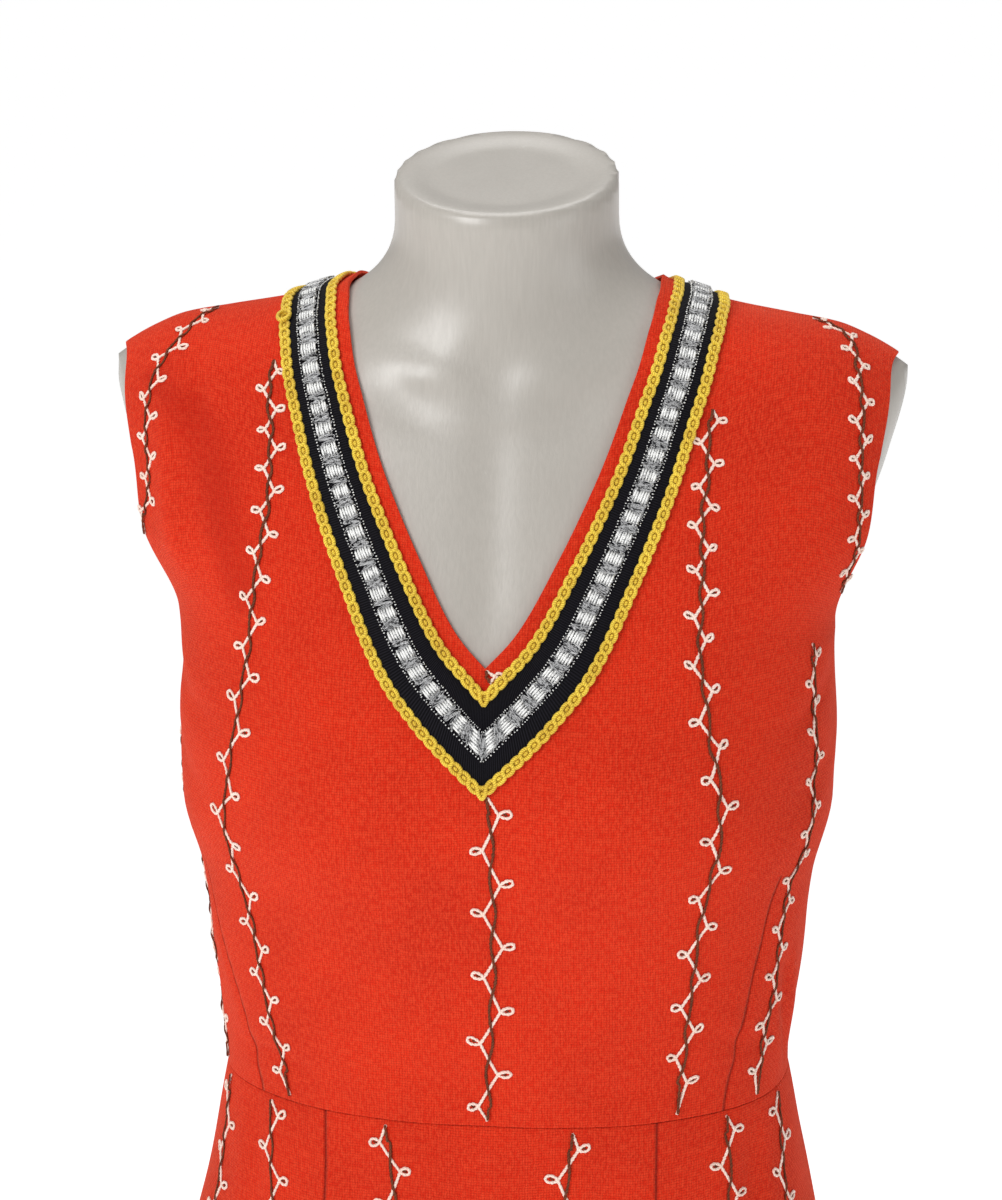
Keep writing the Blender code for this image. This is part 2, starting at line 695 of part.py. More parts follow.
def stand_pole():
    """Pole from the base plate to the form."""
    foot = BASE_HEIGHT + SEAM_GAP
    top = FORM_BASE_Z - SEAM_GAP
    bpy.ops.mesh.primitive_cylinder_add(
        vertices=STAND_SIDES, radius=POLE_RADIUS, depth=top - foot, location=(0.0, 0.0, 0.5 * (top + foot))
    )
    obj = bpy.context.object
    obj.name = "stand_pole"
    obj.data.name = "stand_pole"
    obj.data.shade_smooth()
    obj.data.set_sharp_from_angle(angle=math.radians(50))
    for collection in obj.users_collection:
        collection.objects.unlink(obj)
    bpy.data.collections[COLLECTION_NAME].objects.link(obj)
    return obj


def material(name, colour, roughness, metallic=0.0):
    """Plain Principled material."""
    made = bpy.data.materials.new(name)
    made.use_nodes = True
    shader = made.node_tree.nodes["Principled BSDF"]
    shader.inputs["Base Color"].default_value = (*colour, 1.0)
    shader.inputs["Roughness"].default_value = roughness
    shader.inputs["Metallic"].default_value = metallic
    made.diffuse_color = (*colour, 1.0)
    return made


def clear_scene():
    """Removes every object and makes the dress's collection."""
    for obj in list(bpy.data.objects):
        bpy.data.objects.remove(obj, do_unlink=True)
    made = bpy.data.collections.new(COLLECTION_NAME)
    bpy.context.scene.collection.children.link(made)


def dress_pieces(finish):
    """The four cloth pieces."""
    front = wall("bodice_front", bodice_face, *front_bodice_grid(), LOWER_ROWS + 1, False)
    back = wall("bodice_back", bodice_face, *back_bodice_grid(), LOWER_ROWS + BACK_MIDDLE_ROWS + 1, True)
    skirt_front = wall("skirt_front", skirt_face, *skirt_grid(0), SKIRT_ROWS + 1, True)
    skirt_back = wall("skirt_back", skirt_face, *skirt_grid(1), SKIRT_ROWS + 1, False)
    for obj in (front, back, skirt_front, skirt_back):
        obj.data.materials.append(finish)


def trim_pieces(black, yellow, silver):
    """Ribbon and braids round the neck."""
    inner, outer = braid_distances()
    ribbon().data.materials.append(black)
    yellow_braid("braid_yellow_inner", inner).data.materials.append(yellow)
    yellow_braid("braid_yellow_outer", outer).data.materials.append(yellow)
    silver_braid().data.materials.append(silver)


def stand_pieces(finish, plastic):
    """The form and the stand that carries it."""
    form_torso().data.materials.append(plastic)
    for obj in (stand_collar(), stand_pole(), stand_hub(), stand_base()):
        obj.data.materials.append(finish)


def main():
    """Builds the whole part."""
    clear_scene()
    dress_pieces(material("wool", (0.75, 0.035, 0.012), 0.9))
    trim_pieces(
        material("ribbon", (0.008, 0.007, 0.009), 0.6),
        material("yellow_braid", (0.82, 0.52, 0.04), 0.6),
        material("silver_braid", (0.55, 0.55, 0.58), 0.35, 0.6),
    )
    stand_pieces(
        material("painted_steel", (0.45, 0.45, 0.44), 0.4, 0.3),
        material("plastic", (0.52, 0.52, 0.49), 0.35),
    )


main()
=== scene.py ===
"""Looks of a sleeveless wool folk dress with a braid-trimmed V neck, resting on a limbless dress form.

Metres, +Z up, the front of the dress faces -Y.  Every cloth face is a function of an angle round the body,
0 at the front and positive towards the wearer's left, and a level.  Trim and embroidery are laid on those
same faces.
"""

import functools
import logging
import math
from collections.abc import Callable, Sequence
from dataclasses import dataclass
from enum import Enum
from typing import NamedTuple

import bpy
import numpy as np
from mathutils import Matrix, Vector


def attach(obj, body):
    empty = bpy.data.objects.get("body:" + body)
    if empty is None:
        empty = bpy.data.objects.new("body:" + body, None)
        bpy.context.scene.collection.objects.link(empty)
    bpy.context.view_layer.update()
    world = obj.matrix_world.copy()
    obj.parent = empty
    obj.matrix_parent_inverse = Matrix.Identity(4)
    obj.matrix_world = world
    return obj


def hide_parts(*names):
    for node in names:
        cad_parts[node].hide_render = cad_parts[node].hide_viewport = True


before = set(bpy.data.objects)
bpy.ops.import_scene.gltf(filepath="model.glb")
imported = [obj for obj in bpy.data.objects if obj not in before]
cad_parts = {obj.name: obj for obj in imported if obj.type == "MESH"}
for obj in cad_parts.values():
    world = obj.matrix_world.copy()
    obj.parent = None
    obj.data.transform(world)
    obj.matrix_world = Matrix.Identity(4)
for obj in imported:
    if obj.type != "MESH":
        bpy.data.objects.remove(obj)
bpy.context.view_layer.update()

LOG = logging.getLogger("folk_dress")
BODY = "root"
Array = np.ndarray
Colour = tuple[float, float, float]
Point = tuple[float, float, float]
Pair = tuple[float, float]
Line = tuple[Pair, ...]
Draws = np.random.Generator
Material = bpy.types.Material
Piece = bpy.types.Object
Shape = Callable[[Array, Array], Array]
Socket = bpy.types.NodeSocket

# Heights above the floor, and the cloth
HEM_Z = 0.420
FORM_BASE_Z = 0.800
WAIST_Z = 1.000
UNDERARM_Z = 1.236
FAN_Z = 1.330
BODICE_TOP = 1.452
NECK_CAP_Z = 1.467
WALL = 0.0016
SEAM_GAP = 0.0003
SIDE = math.pi / 2
BACK = math.pi

# The least length that still has a direction, and the step for slopes of a face in radians and metres
SHORTEST = 1e-12
STEP = 2e-5


class Facing(Enum):
    """Which half of the dress a panel covers."""

    FRONT = "front"
    BACK = "back"


class Section(NamedTuple):
    """One level of the dress form, and the room from it to the outer face of the dress."""

    height: float
    half_width: float
    front: float
    back: float
    squareness: float
    side_ease: float
    front_ease: float
    back_ease: float


class SkirtSection(NamedTuple):
    """One level of the skirt's outer face."""

    height: float
    half_width: float
    front: float
    back: float


class SkirtFold(NamedTuple):
    """A soft fold of the skirt: where its trough runs, and its depth and width at the hem."""

    degrees: float
    depth: float
    spread: float


SECTIONS = (
    Section(0.800, 0.1600, 0.1080, 0.1150, 2.3, 0.0160, 0.0120, 0.0120),
    Section(0.870, 0.1560, 0.1030, 0.1080, 2.3, 0.0110, 0.0100, 0.0100),
    Section(0.940, 0.1470, 0.0980, 0.0940, 2.3, 0.0070, 0.0060, 0.0070),
    Section(1.000, 0.1420, 0.0970, 0.0800, 2.3, 0.0060, 0.0050, 0.0060),
    Section(1.060, 0.1470, 0.1040, 0.0840, 2.3, 0.0070, 0.0040, 0.0050),
    Section(1.110, 0.1530, 0.1120, 0.0900, 2.3, 0.0055, 0.0030, 0.0040),
    Section(1.150, 0.1650, 0.1180, 0.0945, 2.3, 0.0035, 0.0030, 0.0035),
    Section(1.180, 0.1655, 0.1190, 0.0970, 2.4, 0.0035, 0.0030, 0.0032),
    Section(1.215, 0.1625, 0.1140, 0.1000, 2.5, 0.0046, 0.0030, 0.0030),
    Section(1.245, 0.1610, 0.1060, 0.1020, 2.6, 0.0070, 0.0030, 0.0030),
    Section(1.290, 0.1780, 0.0930, 0.0990, 2.8, 0.0130, 0.0028, 0.0028),
    Section(1.330, 0.1915, 0.0830, 0.0930, 3.0, 0.0052, 0.0026, 0.0026),
    Section(1.366, 0.1995, 0.0760, 0.0860, 3.0, 0.0038, 0.0022, 0.0022),
    Section(1.420, 0.1995, 0.0700, 0.0780, 3.0, 0.0038, 0.0022, 0.0022),
    Section(1.500, 0.1995, 0.0700, 0.0780, 3.0, 0.0038, 0.0022, 0.0022),
)

SKIRT_SECTIONS = (
    SkirtSection(0.420, 0.2620, 0.2250, 0.2250),
    SkirtSection(0.600, 0.2300, 0.1900, 0.1930),
    SkirtSection(0.760, 0.1980, 0.1500, 0.1580),
    SkirtSection(0.870, 0.1760, 0.1230, 0.1290),
    SkirtSection(0.940, 0.1600, 0.1090, 0.1060),
    SkirtSection(1.000, 0.1480, 0.1020, 0.0860),
)

SKIRT_FOLDS = (
    SkirtFold(22.0, 0.012, 15.0),
    SkirtFold(63.0, 0.015, 17.0),
    SkirtFold(116.0, 0.015, 17.0),
    SkirtFold(156.0, 0.012, 15.0),
)

SHOULDER_RIDGE = (
    (0.000, 1.420), (0.060, 1.412), (0.084, 1.4055), (0.110, 1.3980), (0.143, 1.3920),
    (0.165, 1.3880), (0.180, 1.3820), (0.192, 1.3755), (0.205, 1.3665), (0.260, 1.3320),
)

# Level of the neckline over the angle round the neck in degrees
NECKLINE = (
    (0.0, 1.2380), (7.0, 1.2520), (19.5, 1.2885), (30.5, 1.3225), (45.5, 1.3690),
    (58.0, 1.3935), (72.0, 1.4065), (90.0, 1.4120), (125.0, 1.4060), (155.0, 1.4010), (180.0, 1.4000),
)


def monotone(x: Array, points: Sequence[Pair]) -> Array:
    """Smooth curve through the points that never overshoots them.

    Args:
        x: Where the curve is read.
        points: (x, y) pairs in rising order of x.

    Returns:
        The curve's values.
    """
    px, py = np.asarray(points, float).T
    step = np.diff(px)
    slope = np.diff(py) / step
    same_way = slope[:-1] * slope[1:] > 0
    before = np.where(same_way, slope[:-1], 1.0)
    after = np.where(same_way, slope[1:], 1.0)
    weight_before = 2 * step[1:] + step[:-1]
    weight_after = step[1:] + 2 * step[:-1]
    mean = (weight_before + weight_after) / (weight_before / before + weight_after / after)
    tangent = np.concatenate([slope[:1], np.where(same_way, mean, 0.0), slope[-1:]])
    x = np.clip(x, px[0], px[-1])
    k = np.clip(np.searchsorted(px, x) - 1, 0, len(step) - 1)
    t = (x - px[k]) / step[k]
    start = (1 + 2 * t) * (1 - t) ** 2 * py[k] + t * (1 - t) ** 2 * step[k] * tangent[k]
    end = t * t * (3 - 2 * t) * py[k + 1] + t * t * (t - 1) * step[k] * tangent[k + 1]
    return start + end


def column(rows: Sequence[NamedTuple], field_name: str, level: Array) -> Array:
    """Values of one named column of a table at levels."""
    return monotone(level, [(row.height, getattr(row, field_name)) for row in rows])


def unit(vectors: Array) -> Array:
    """Vectors of length one, except that one without a length stays zero."""
    return vectors / np.maximum(np.linalg.norm(vectors, axis=-1, keepdims=True), SHORTEST)


def lengths_along(points: Array) -> Array:
    """Distance along a line of points, from 0."""
    return np.concatenate([[0.0], np.cumsum(np.linalg.norm(np.diff(points, axis=0), axis=1))])


def between(at: Array, places: Array, rows: Array) -> Array:
    """Rows read between the given ones, which stand at rising places."""
    return np.stack([np.interp(at, places, values) for values in rows.T], -1)


def bell(x: Array, middle: float | Array, width: float) -> Array:
    """1 at the middle, and 1/e at a width from it."""
    return np.exp(-(((x - middle) / width) ** 2))


def smooth_step(x: Array, low: float, high: float) -> Array:
    """0 below low, 1 above high and a soft rise between them."""
    t = np.clip((x - low) / (high - low), 0.0, 1.0)
    return t * t * (3 - 2 * t)


def neck_level(angle: Array) -> Array:
    """Level of the neckline at an angle round the neck."""
    return monotone(np.degrees(np.abs(angle)), NECKLINE)


@dataclass(frozen=True)
class Figure:
    """The general body that the form and the dress share, as a field that rays from the axis meet."""

    ridge_ease: float = 0.0032
    arch_start: float = 1.236
    arch_power: float = 4.0
    depth_power: float = 2.3
    field_scale: float = 0.09
    fan_reach: float = 0.10
    neck_half_width: float = 0.0555
    neck_half_depth: float = 0.0580
    neck_lean: float = 0.12
    neck_base: float = 1.400
    neck_foot: float = 1.350
    neck_flare: float = 0.034
    cap_slope: float = 0.30
    bust_place: Pair = (0.074, 1.168)
    bust_fullness: float = 0.011
    bust_spread: Pair = (0.045, 0.042)
    reach: Pair = (0.02, 0.32)
    halvings: int = 24

    def torso_field(self, x: Array, y: Array, z: Array, ease: float) -> Array:
        """Below zero inside the torso.  ease is 0 on the form and 1 on the outer face of the dress."""
        half = column(SECTIONS, "half_width", z) + ease * column(SECTIONS, "side_ease", z)
        front = column(SECTIONS, "front", z) + ease * column(SECTIONS, "front_ease", z)
        back = column(SECTIONS, "back", z) + ease * column(SECTIONS, "back_ease", z)
        across = (np.abs(x) - self.bust_place[0]) / self.bust_spread[0]
        up = (z - self.bust_place[1]) / self.bust_spread[1]
        fullness = self.bust_fullness * np.exp(-0.5 * (across**2 + up**2))
        depth = np.where(y < 0, front + fullness, back)
        ridge = monotone(np.abs(x), SHOULDER_RIDGE) + ease * self.ridge_ease
        rise = np.clip((z - self.arch_start) / (ridge - self.arch_start), 0.0, None)
        side = 1 - (np.abs(x) / half) ** column(SECTIONS, "squareness", z)
        top = 1 - rise**self.arch_power
        cover = np.where((side > 0) & (top > 0), side * top, np.minimum(side, top))
        bulge = np.sqrt(np.maximum(1 + (np.abs(y) / depth) ** self.depth_power - cover, 0.0))
        return (bulge - 1) * self.field_scale

    def neck_field(self, x: Array, y: Array, z: Array, ease: float) -> Array:
        """Below zero inside the neck, which leans a little to the front."""
        middle = -self.neck_lean * (np.maximum(z, self.neck_foot) - self.neck_base)
        half_width = self.neck_half_width + ease * self.ridge_ease
        half_depth = self.neck_half_depth + ease * self.ridge_ease
        beside = (np.hypot(x / half_width, (y - middle) / half_depth) - 1) * half_width
        return beside + np.maximum(self.neck_foot - z, 0.0)

    def trunk_field(self, x: Array, y: Array, z: Array, ease: float) -> Array:
        """Torso and neck with a smooth flare between them."""
        torso = self.torso_field(x, y, z, ease)
        neck = self.neck_field(x, y, z, ease)
        share = np.clip(0.5 + 0.5 * (neck - torso) / self.neck_flare, 0.0, 1.0)
        return neck * (1 - share) + torso * share - self.neck_flare * share * (1 - share)

    def points(self, angle: Array, level: Array, ease: float, rim: float = 1e-5) -> Array:
        """Where rays from the axis meet the form (ease 0) or the dress (ease 1).

        Args:
            angle: Angles round the body.
            level: Levels; a level up to FAN_Z is a height, and above it the rays fan upwards.
            ease: 0 for the form, 1 for the outer face of the dress.
            rim: How round the edge of the neck's cap is.

        Returns:
            One point for each pair of angle and level.
        """
        angle, level = np.broadcast_arrays(np.asarray(angle, float), np.asarray(level, float))
        origin = np.minimum(level, FAN_Z)
        tilt = np.maximum(level - FAN_Z, 0.0) / self.fan_reach
        dx = np.sin(angle) * np.cos(tilt)
        dy = -np.cos(angle) * np.cos(tilt)
        dz = np.sin(tilt)
        near = np.full(angle.shape, self.reach[0])
        far = np.full(angle.shape, self.reach[1])
        for _ in range(self.halvings):
            middle = 0.5 * (near + far)
            x, y, z = dx * middle, dy * middle, origin + dz * middle
            trunk = self.trunk_field(x, y, z, ease)
            cap = z - NECK_CAP_Z - self.cap_slope * y
            share = np.clip(0.5 + 0.5 * (trunk - cap) / rim, 0.0, 1.0)
            inside = trunk * share + cap * (1 - share) + rim * share * (1 - share) < 0
            near = np.where(inside, middle, near)
            far = np.where(inside, far, middle)
        return np.stack([dx * near, dy * near, origin + dz * near], axis=-1)

    def locate(self, point: Array) -> tuple[Array, Array]:
        """Angle and level of the ray through each point."""
        x, y, z = np.moveaxis(np.asarray(point, float), -1, 0)
        tilt = np.arctan2(z - FAN_Z, np.hypot(x, y))
        return np.arctan2(x, -y), np.where(z > FAN_Z, FAN_Z + self.fan_reach * tilt, z)


FIGURE = Figure()


def bodice_shape(angle: Array, level: Array) -> Array:
    """Outer face of the bodice before its creases."""
    return FIGURE.points(angle, level, 1.0)


def skirt_shape(angle: Array, level: Array) -> Array:
    """Outer face of the skirt, with soft folds that open towards the hem."""
    power = 2.3
    opening_power = 1.5
    angle, level = np.broadcast_arrays(np.asarray(angle, float), np.asarray(level, float))
    half, front, back = (column(SKIRT_SECTIONS, name, level) for name in ("half_width", "front", "back"))
    sine, cosine = np.sin(angle), np.cos(angle)
    depth = np.where(cosine > 0, front, back)
    across = (np.abs(sine) / half) ** power + (np.abs(cosine) / depth) ** power
    radius = across ** (-1 / power)
    around = np.degrees(np.arccos(np.clip(cosine, -1.0, 1.0)))
    opening = np.clip((WAIST_Z - level) / (WAIST_Z - HEM_Z), 0.0, 1.0) ** opening_power
    for fold in SKIRT_FOLDS:
        radius = radius - opening * fold.depth * np.exp(-2.0 * ((around - fold.degrees) / fold.spread) ** 2)
    return np.stack([sine * radius, -cosine * radius, level], axis=-1)


@dataclass(frozen=True)
class Crease:
    """A crease placed along (degrees, level) points.  depth is inwards, and below 0 a ridge."""

    line: Line
    depth: float
    width: float
    fading: float = 0.6
    shoulder: float = 0.35

    def path(self, shape: Shape, count: int = 14) -> Array:
        """Points of the crease on a cloth face."""
        line = np.asarray(self.line, float)
        degrees, level = between(np.linspace(0, len(line) - 1, count), np.arange(len(line)), line).T
        return shape(np.radians(degrees), level)

    def relief(self, points: Array, shape: Shape) -> Array:
        """How far the crease moves each point outwards."""
        path = self.path(shape)
        nearest = np.full(points.shape[:-1], np.inf)
        along = np.zeros(points.shape[:-1])
        for k, (start, end) in enumerate(zip(path[:-1], path[1:])):
            edge = end - start
            t = np.clip(((points - start) @ edge) / (edge @ edge), 0.0, 1.0)
            gap = np.linalg.norm(points - start - t[..., None] * edge, axis=-1)
            closer = gap < nearest
            nearest = np.where(closer, gap, nearest)
            along = np.where(closer, (k + t) / (len(path) - 1), along)
        fade = np.sin(math.pi * np.clip(along, 0.0, 1.0)) ** self.fading
        groove = bell(nearest, 0.0, self.width)
        shoulder = self.shoulder * bell(nearest, 2.0 * self.width, self.width)
        return self.depth * fade * (shoulder - groove)


def normals_of(shape: Shape, angle: Array, level: Array) -> Array:
    """Outward normals of a smooth face."""
    along = shape(angle + STEP, level) - shape(angle - STEP, level)
    up = shape(angle, level + STEP) - shape(angle, level - STEP)
    return unit(np.cross(along, up))


def mirrored_line(line: Line) -> Line:
    """A line on the other side of the body."""
    return tuple((-degrees, level) for degrees, level in line)


def both_sides(crease: Crease) -> tuple[Crease, Crease]:
    """A crease and its mirror image."""
    return crease, Crease(mirrored_line(crease.line), crease.depth, crease.width)


LEFT_DART = ((59.0, 1.000), (60.6, 1.029), (62.1, 1.064), (64.0, 1.090), (65.2, 1.125))
RIGHT_DART = ((-60.8, 1.000), (-64.0, 1.035), (-68.5, 1.070), (-72.5, 1.098), (-74.0, 1.120))
BACK_DART = ((146.0, 1.000), (147.5, 1.040), (149.0, 1.090), (150.0, 1.135))
# Line on the wearer's right along which shade is painted into the bodice's colour, standing in for a soft
# fold's shading
RIGHT_PAINTED_SHADE_LINE = (
    (-55.5, 1.2650), (-57.5, 1.2830), (-61.6, 1.3151), (-66.6, 1.3386), (-71.0, 1.3531), (-77.0, 1.3640),
)

BODICE_CREASES = (
    # Darts, the soft folds beside them, and two by the wearer's right shoulder
    Crease(LEFT_DART, 0.0011, 0.0030),
    Crease(RIGHT_DART, 0.0011, 0.0030),
    Crease(((73.0, 1.075), (76.5, 1.045), (82.5, 1.009)), 0.0030, 0.0055),
    Crease(((-77.0, 1.070), (-81.0, 1.040), (-85.0, 1.012)), 0.0022, 0.0055),
    Crease(((-77.0, 1.362), (-71.5, 1.352), (-67.0, 1.338)), 0.0016, 0.0050),
    Crease(((-75.0, 1.352), (-71.5, 1.330), (-69.0, 1.300), (-68.0, 1.268)), -0.0022, 0.0090),
    # Drag lines from the underarm to the bust and across the waist
    *both_sides(Crease(((83.0, 1.222), (70.0, 1.205), (57.0, 1.196)), 0.0013, 0.0060)),
    *both_sides(Crease(((85.0, 1.188), (73.0, 1.170), (62.0, 1.158)), 0.0010, 0.0070)),
    Crease(((-30.0, 1.030), (-12.0, 1.020), (4.0, 1.026)), 0.0008, 0.0070),
    Crease(((20.0, 1.022), (34.0, 1.016), (46.0, 1.021)), 0.0010, 0.0060),
    Crease(((50.0, 1.046), (64.0, 1.034), (72.0, 1.030)), 0.0012, 0.0050),
    Crease(((-44.0, 1.018), (-58.0, 1.024), (-70.0, 1.020)), 0.0011, 0.0055),
    # Back: darts, folds over the small of the back and towards the armholes
    *both_sides(Crease(BACK_DART, 0.0012, 0.0032)),
    *both_sides(Crease(((170.0, 1.030), (150.0, 1.018), (128.0, 1.024)), 0.0018, 0.0070)),
    *both_sides(Crease(((160.0, 1.058), (138.0, 1.046), (115.0, 1.050)), 0.0015, 0.0080)),
    *both_sides(Crease(((104.0, 1.226), (118.0, 1.205), (134.0, 1.198)), 0.0014, 0.0070)),
    *both_sides(Crease(((112.0, 1.330), (124.0, 1.300), (129.0, 1.262)), 0.0012, 0.0080)),
)

SKIRT_CREASES = (
    Crease(((-62.0, 0.998), (-59.0, 0.960), (-58.0, 0.900)), 0.0016, 0.0070),
    Crease(((-36.0, 0.998), (-34.0, 0.950), (-33.0, 0.880)), 0.0012, 0.0080),
    Crease(((-8.0, 0.996), (-8.5, 0.940), (-9.0, 0.850)), 0.0010, 0.0090),
    Crease(((31.0, 0.997), (30.0, 0.955), (29.0, 0.880)), 0.0012, 0.0080),
    Crease(((66.0, 0.998), (64.0, 0.955), (62.0, 0.890)), 0.0018, 0.0070),
    *both_sides(Crease(((118.0, 0.998), (117.0, 0.950), (116.0, 0.870)), 0.0020, 0.0080)),
    *both_sides(Crease(((152.0, 0.998), (153.0, 0.940), (154.0, 0.850)), 0.0020, 0.0090)),
)


class ClothFace:
    """A cloth face with its creases, read exactly for panels and from a fine table for what lies on it.

    Each of its WAVES of slight unevenness has a height, a rate round the body, a rate upwards and a phase.
    """

    ANGLES = 721
    LEVELS = 240
    WAVES = ((0.00035, 7.0, 55.0, 0.0), (0.00025, 13.0, -90.0, 1.3))

    def __init__(self, shape: Shape, creases: Sequence[Crease], low: float, high: float) -> None:
        """Builds the table.

        Args:
            shape: The face before its creases.
            creases: Creases placed on it.
            low: Lowest level of the table.
            high: Highest level of the table.
        """
        self.shape = shape
        self.creases = creases
        self.low = low
        self.high = high
        angle = np.linspace(-math.pi, math.pi, self.ANGLES)
        level = np.linspace(low, high, self.LEVELS)
        grid_angle, grid_level = np.meshgrid(angle, level, indexing="ij")
        self.table = self.exact(grid_angle, grid_level)
        along = np.gradient(self.table, axis=0)
        along[0] = along[-1] = self.table[1] - self.table[-2]
        self.normals = unit(np.cross(along, np.gradient(self.table, axis=1)))

    def exact(self, angle: Array, level: Array) -> Array:
        """Points of the face with its creases and the cloth's slight unevenness."""
        points = self.shape(angle, level)
        normal = normals_of(self.shape, angle, level)
        move = np.zeros(np.shape(level))
        for height, rate, rise, phase in self.WAVES:
            move = move + height * np.sin(rate * angle + rise * level + phase)
        for crease in self.creases:
            move = move + crease.relief(points, self.shape)
        return points + normal * move[..., None]

    def read(self, angle: Array, level: Array) -> tuple[Array, Array]:
        """Points and outward normals from the table."""
        turn = np.mod(np.asarray(angle) + math.pi, 2 * math.pi) / (2 * math.pi) * (self.ANGLES - 1)
        share = np.clip((np.asarray(level) - self.low) / (self.high - self.low), 0.0, 1.0)
        rise = share * (self.LEVELS - 1)
        i = np.clip(turn.astype(int), 0, self.ANGLES - 2)
        j = np.clip(rise.astype(int), 0, self.LEVELS - 2)
        s, t = (turn - i)[..., None], (rise - j)[..., None]
        found = []
        for values in (self.table, self.normals):
            low = values[i, j] * (1 - s) + values[i + 1, j] * s
            high = values[i, j + 1] * (1 - s) + values[i + 1, j + 1] * s
            found.append(low * (1 - t) + high * t)
        return found[0], unit(found[1])

    def locate(self, points: Array) -> tuple[Array, Array]:
        """Angle and level of points on or near the face."""
        angle, level = FIGURE.locate(points)
        return angle, points[:, 2] if self.shape is skirt_shape else level


# Meshes


def deselect_all() -> None:
    """Leaves nothing selected, so that an operator acts on its own piece alone."""
    if bpy.context.object and bpy.context.object.mode != "OBJECT":
        bpy.ops.object.mode_set(mode="OBJECT")
    bpy.ops.object.select_all(action="DESELECT")


def active_piece(name: str) -> Piece:
    """Names the object that an operator has just added."""
    piece = bpy.context.object
    piece.name = name
    piece.data.name = name
    return piece


def new_piece(name: str, data: bpy.types.ID) -> Piece:
    """Adds an object that holds a mesh, a lamp or a camera."""
    piece = bpy.data.objects.new(name, data)
    bpy.context.scene.collection.objects.link(piece)
    return piece


def make_active(piece: Piece) -> None:
    """Selects one piece alone."""
    deselect_all()
    piece.select_set(True)
    bpy.context.view_layer.objects.active = piece


def apply_modifier(piece: Piece, kind: str, **values: object) -> None:
    """Adds a modifier, sets its values and applies it."""
    make_active(piece)
    bpy.ops.object.modifier_add(type=kind)
    modifier = piece.modifiers[-1]
    for key, value in values.items():
        setattr(modifier, key, value)
    bpy.ops.object.modifier_apply(modifier=modifier.name)


def bevel(piece: Piece, width: float, limit: float = 0.6) -> None:
    """Rounds the edges where the faces turn by more than a limit in radians."""
    apply_modifier(piece, "BEVEL", width=width, segments=2, limit_method="ANGLE", angle_limit=limit)


def coordinates(mesh: bpy.types.Mesh) -> Array:
    """Vertex positions of a mesh."""
    found = np.empty(len(mesh.vertices) * 3)
    mesh.vertices.foreach_get("co", found)
    return found.reshape(-1, 3)


def set_coordinates(mesh: bpy.types.Mesh, points: Array) -> None:
    """Moves the vertices of a mesh."""
    mesh.vertices.foreach_set("co", np.asarray(points, float).ravel())
    mesh.update()


def set_uv(mesh: bpy.types.Mesh, values: Array) -> None:
    """Gives every vertex its place on the flat cloth, in metres, as the UV map."""
    layer = mesh.uv_layers.active or mesh.uv_layers.new(name="UVMap")
    corners = np.empty(len(mesh.loops), np.int64)
    mesh.loops.foreach_get("vertex_index", corners)
    layer.data.foreach_set("uv", values[corners].astype(np.float32).ravel())


def set_attribute(mesh: bpy.types.Mesh, name: str, values: Array) -> None:
    """Stores one vector for each vertex."""
    attribute = mesh.attributes.new(name, "FLOAT_VECTOR", "POINT")
    attribute.data.foreach_set("vector", values.astype(np.float32).ravel())


def smooth(piece: Piece, degrees: float = 40.0) -> None:
    """Smooth shading with sharp edges over an angle."""
    make_active(piece)
    bpy.ops.object.shade_smooth_by_angle(angle=math.radians(degrees))


def face_outwards(piece: Piece) -> None:
    """Turns all faces of an open sheet round if they look at the body's axis."""
    mesh = piece.data
    middle = np.array([face.center[:] for face in mesh.polygons])
    normal = np.array([face.normal[:] for face in mesh.polygons])
    radial = middle * np.array([1.0, 1.0, 0.0])
    if np.sum(radial * normal) < 0:
        mesh.flip_normals()


def finish_piece(piece: Piece, material: Material, replaces: Sequence[str] = ()) -> Piece:
    """Gives a piece its material and its body.

    Args:
        piece: The finished object.
        material: What it is made of.
        replaces: Solids that the piece stands for.

    Returns:
        The same piece.
    """
    piece.data.materials.clear()
    piece.data.materials.append(material)
    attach(piece, BODY)
    if replaces:
        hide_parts(*replaces)
    LOG.info("%s: %d faces", piece.name, len(piece.data.polygons))
    return piece


class Strand(NamedTuple):
    """A thread to be swept: its middle line, the way up, and its half width and half height."""

    points: Array
    normals: Array
    half_width: Array
    half_height: Array


def even_strand(points: Array, normals: Array, half: Pair) -> Strand:
    """A thread with one half width and half height all along."""
    half_width, half_height = half
    return Strand(points, normals, np.full(len(points), half_width), np.full(len(points), half_height))


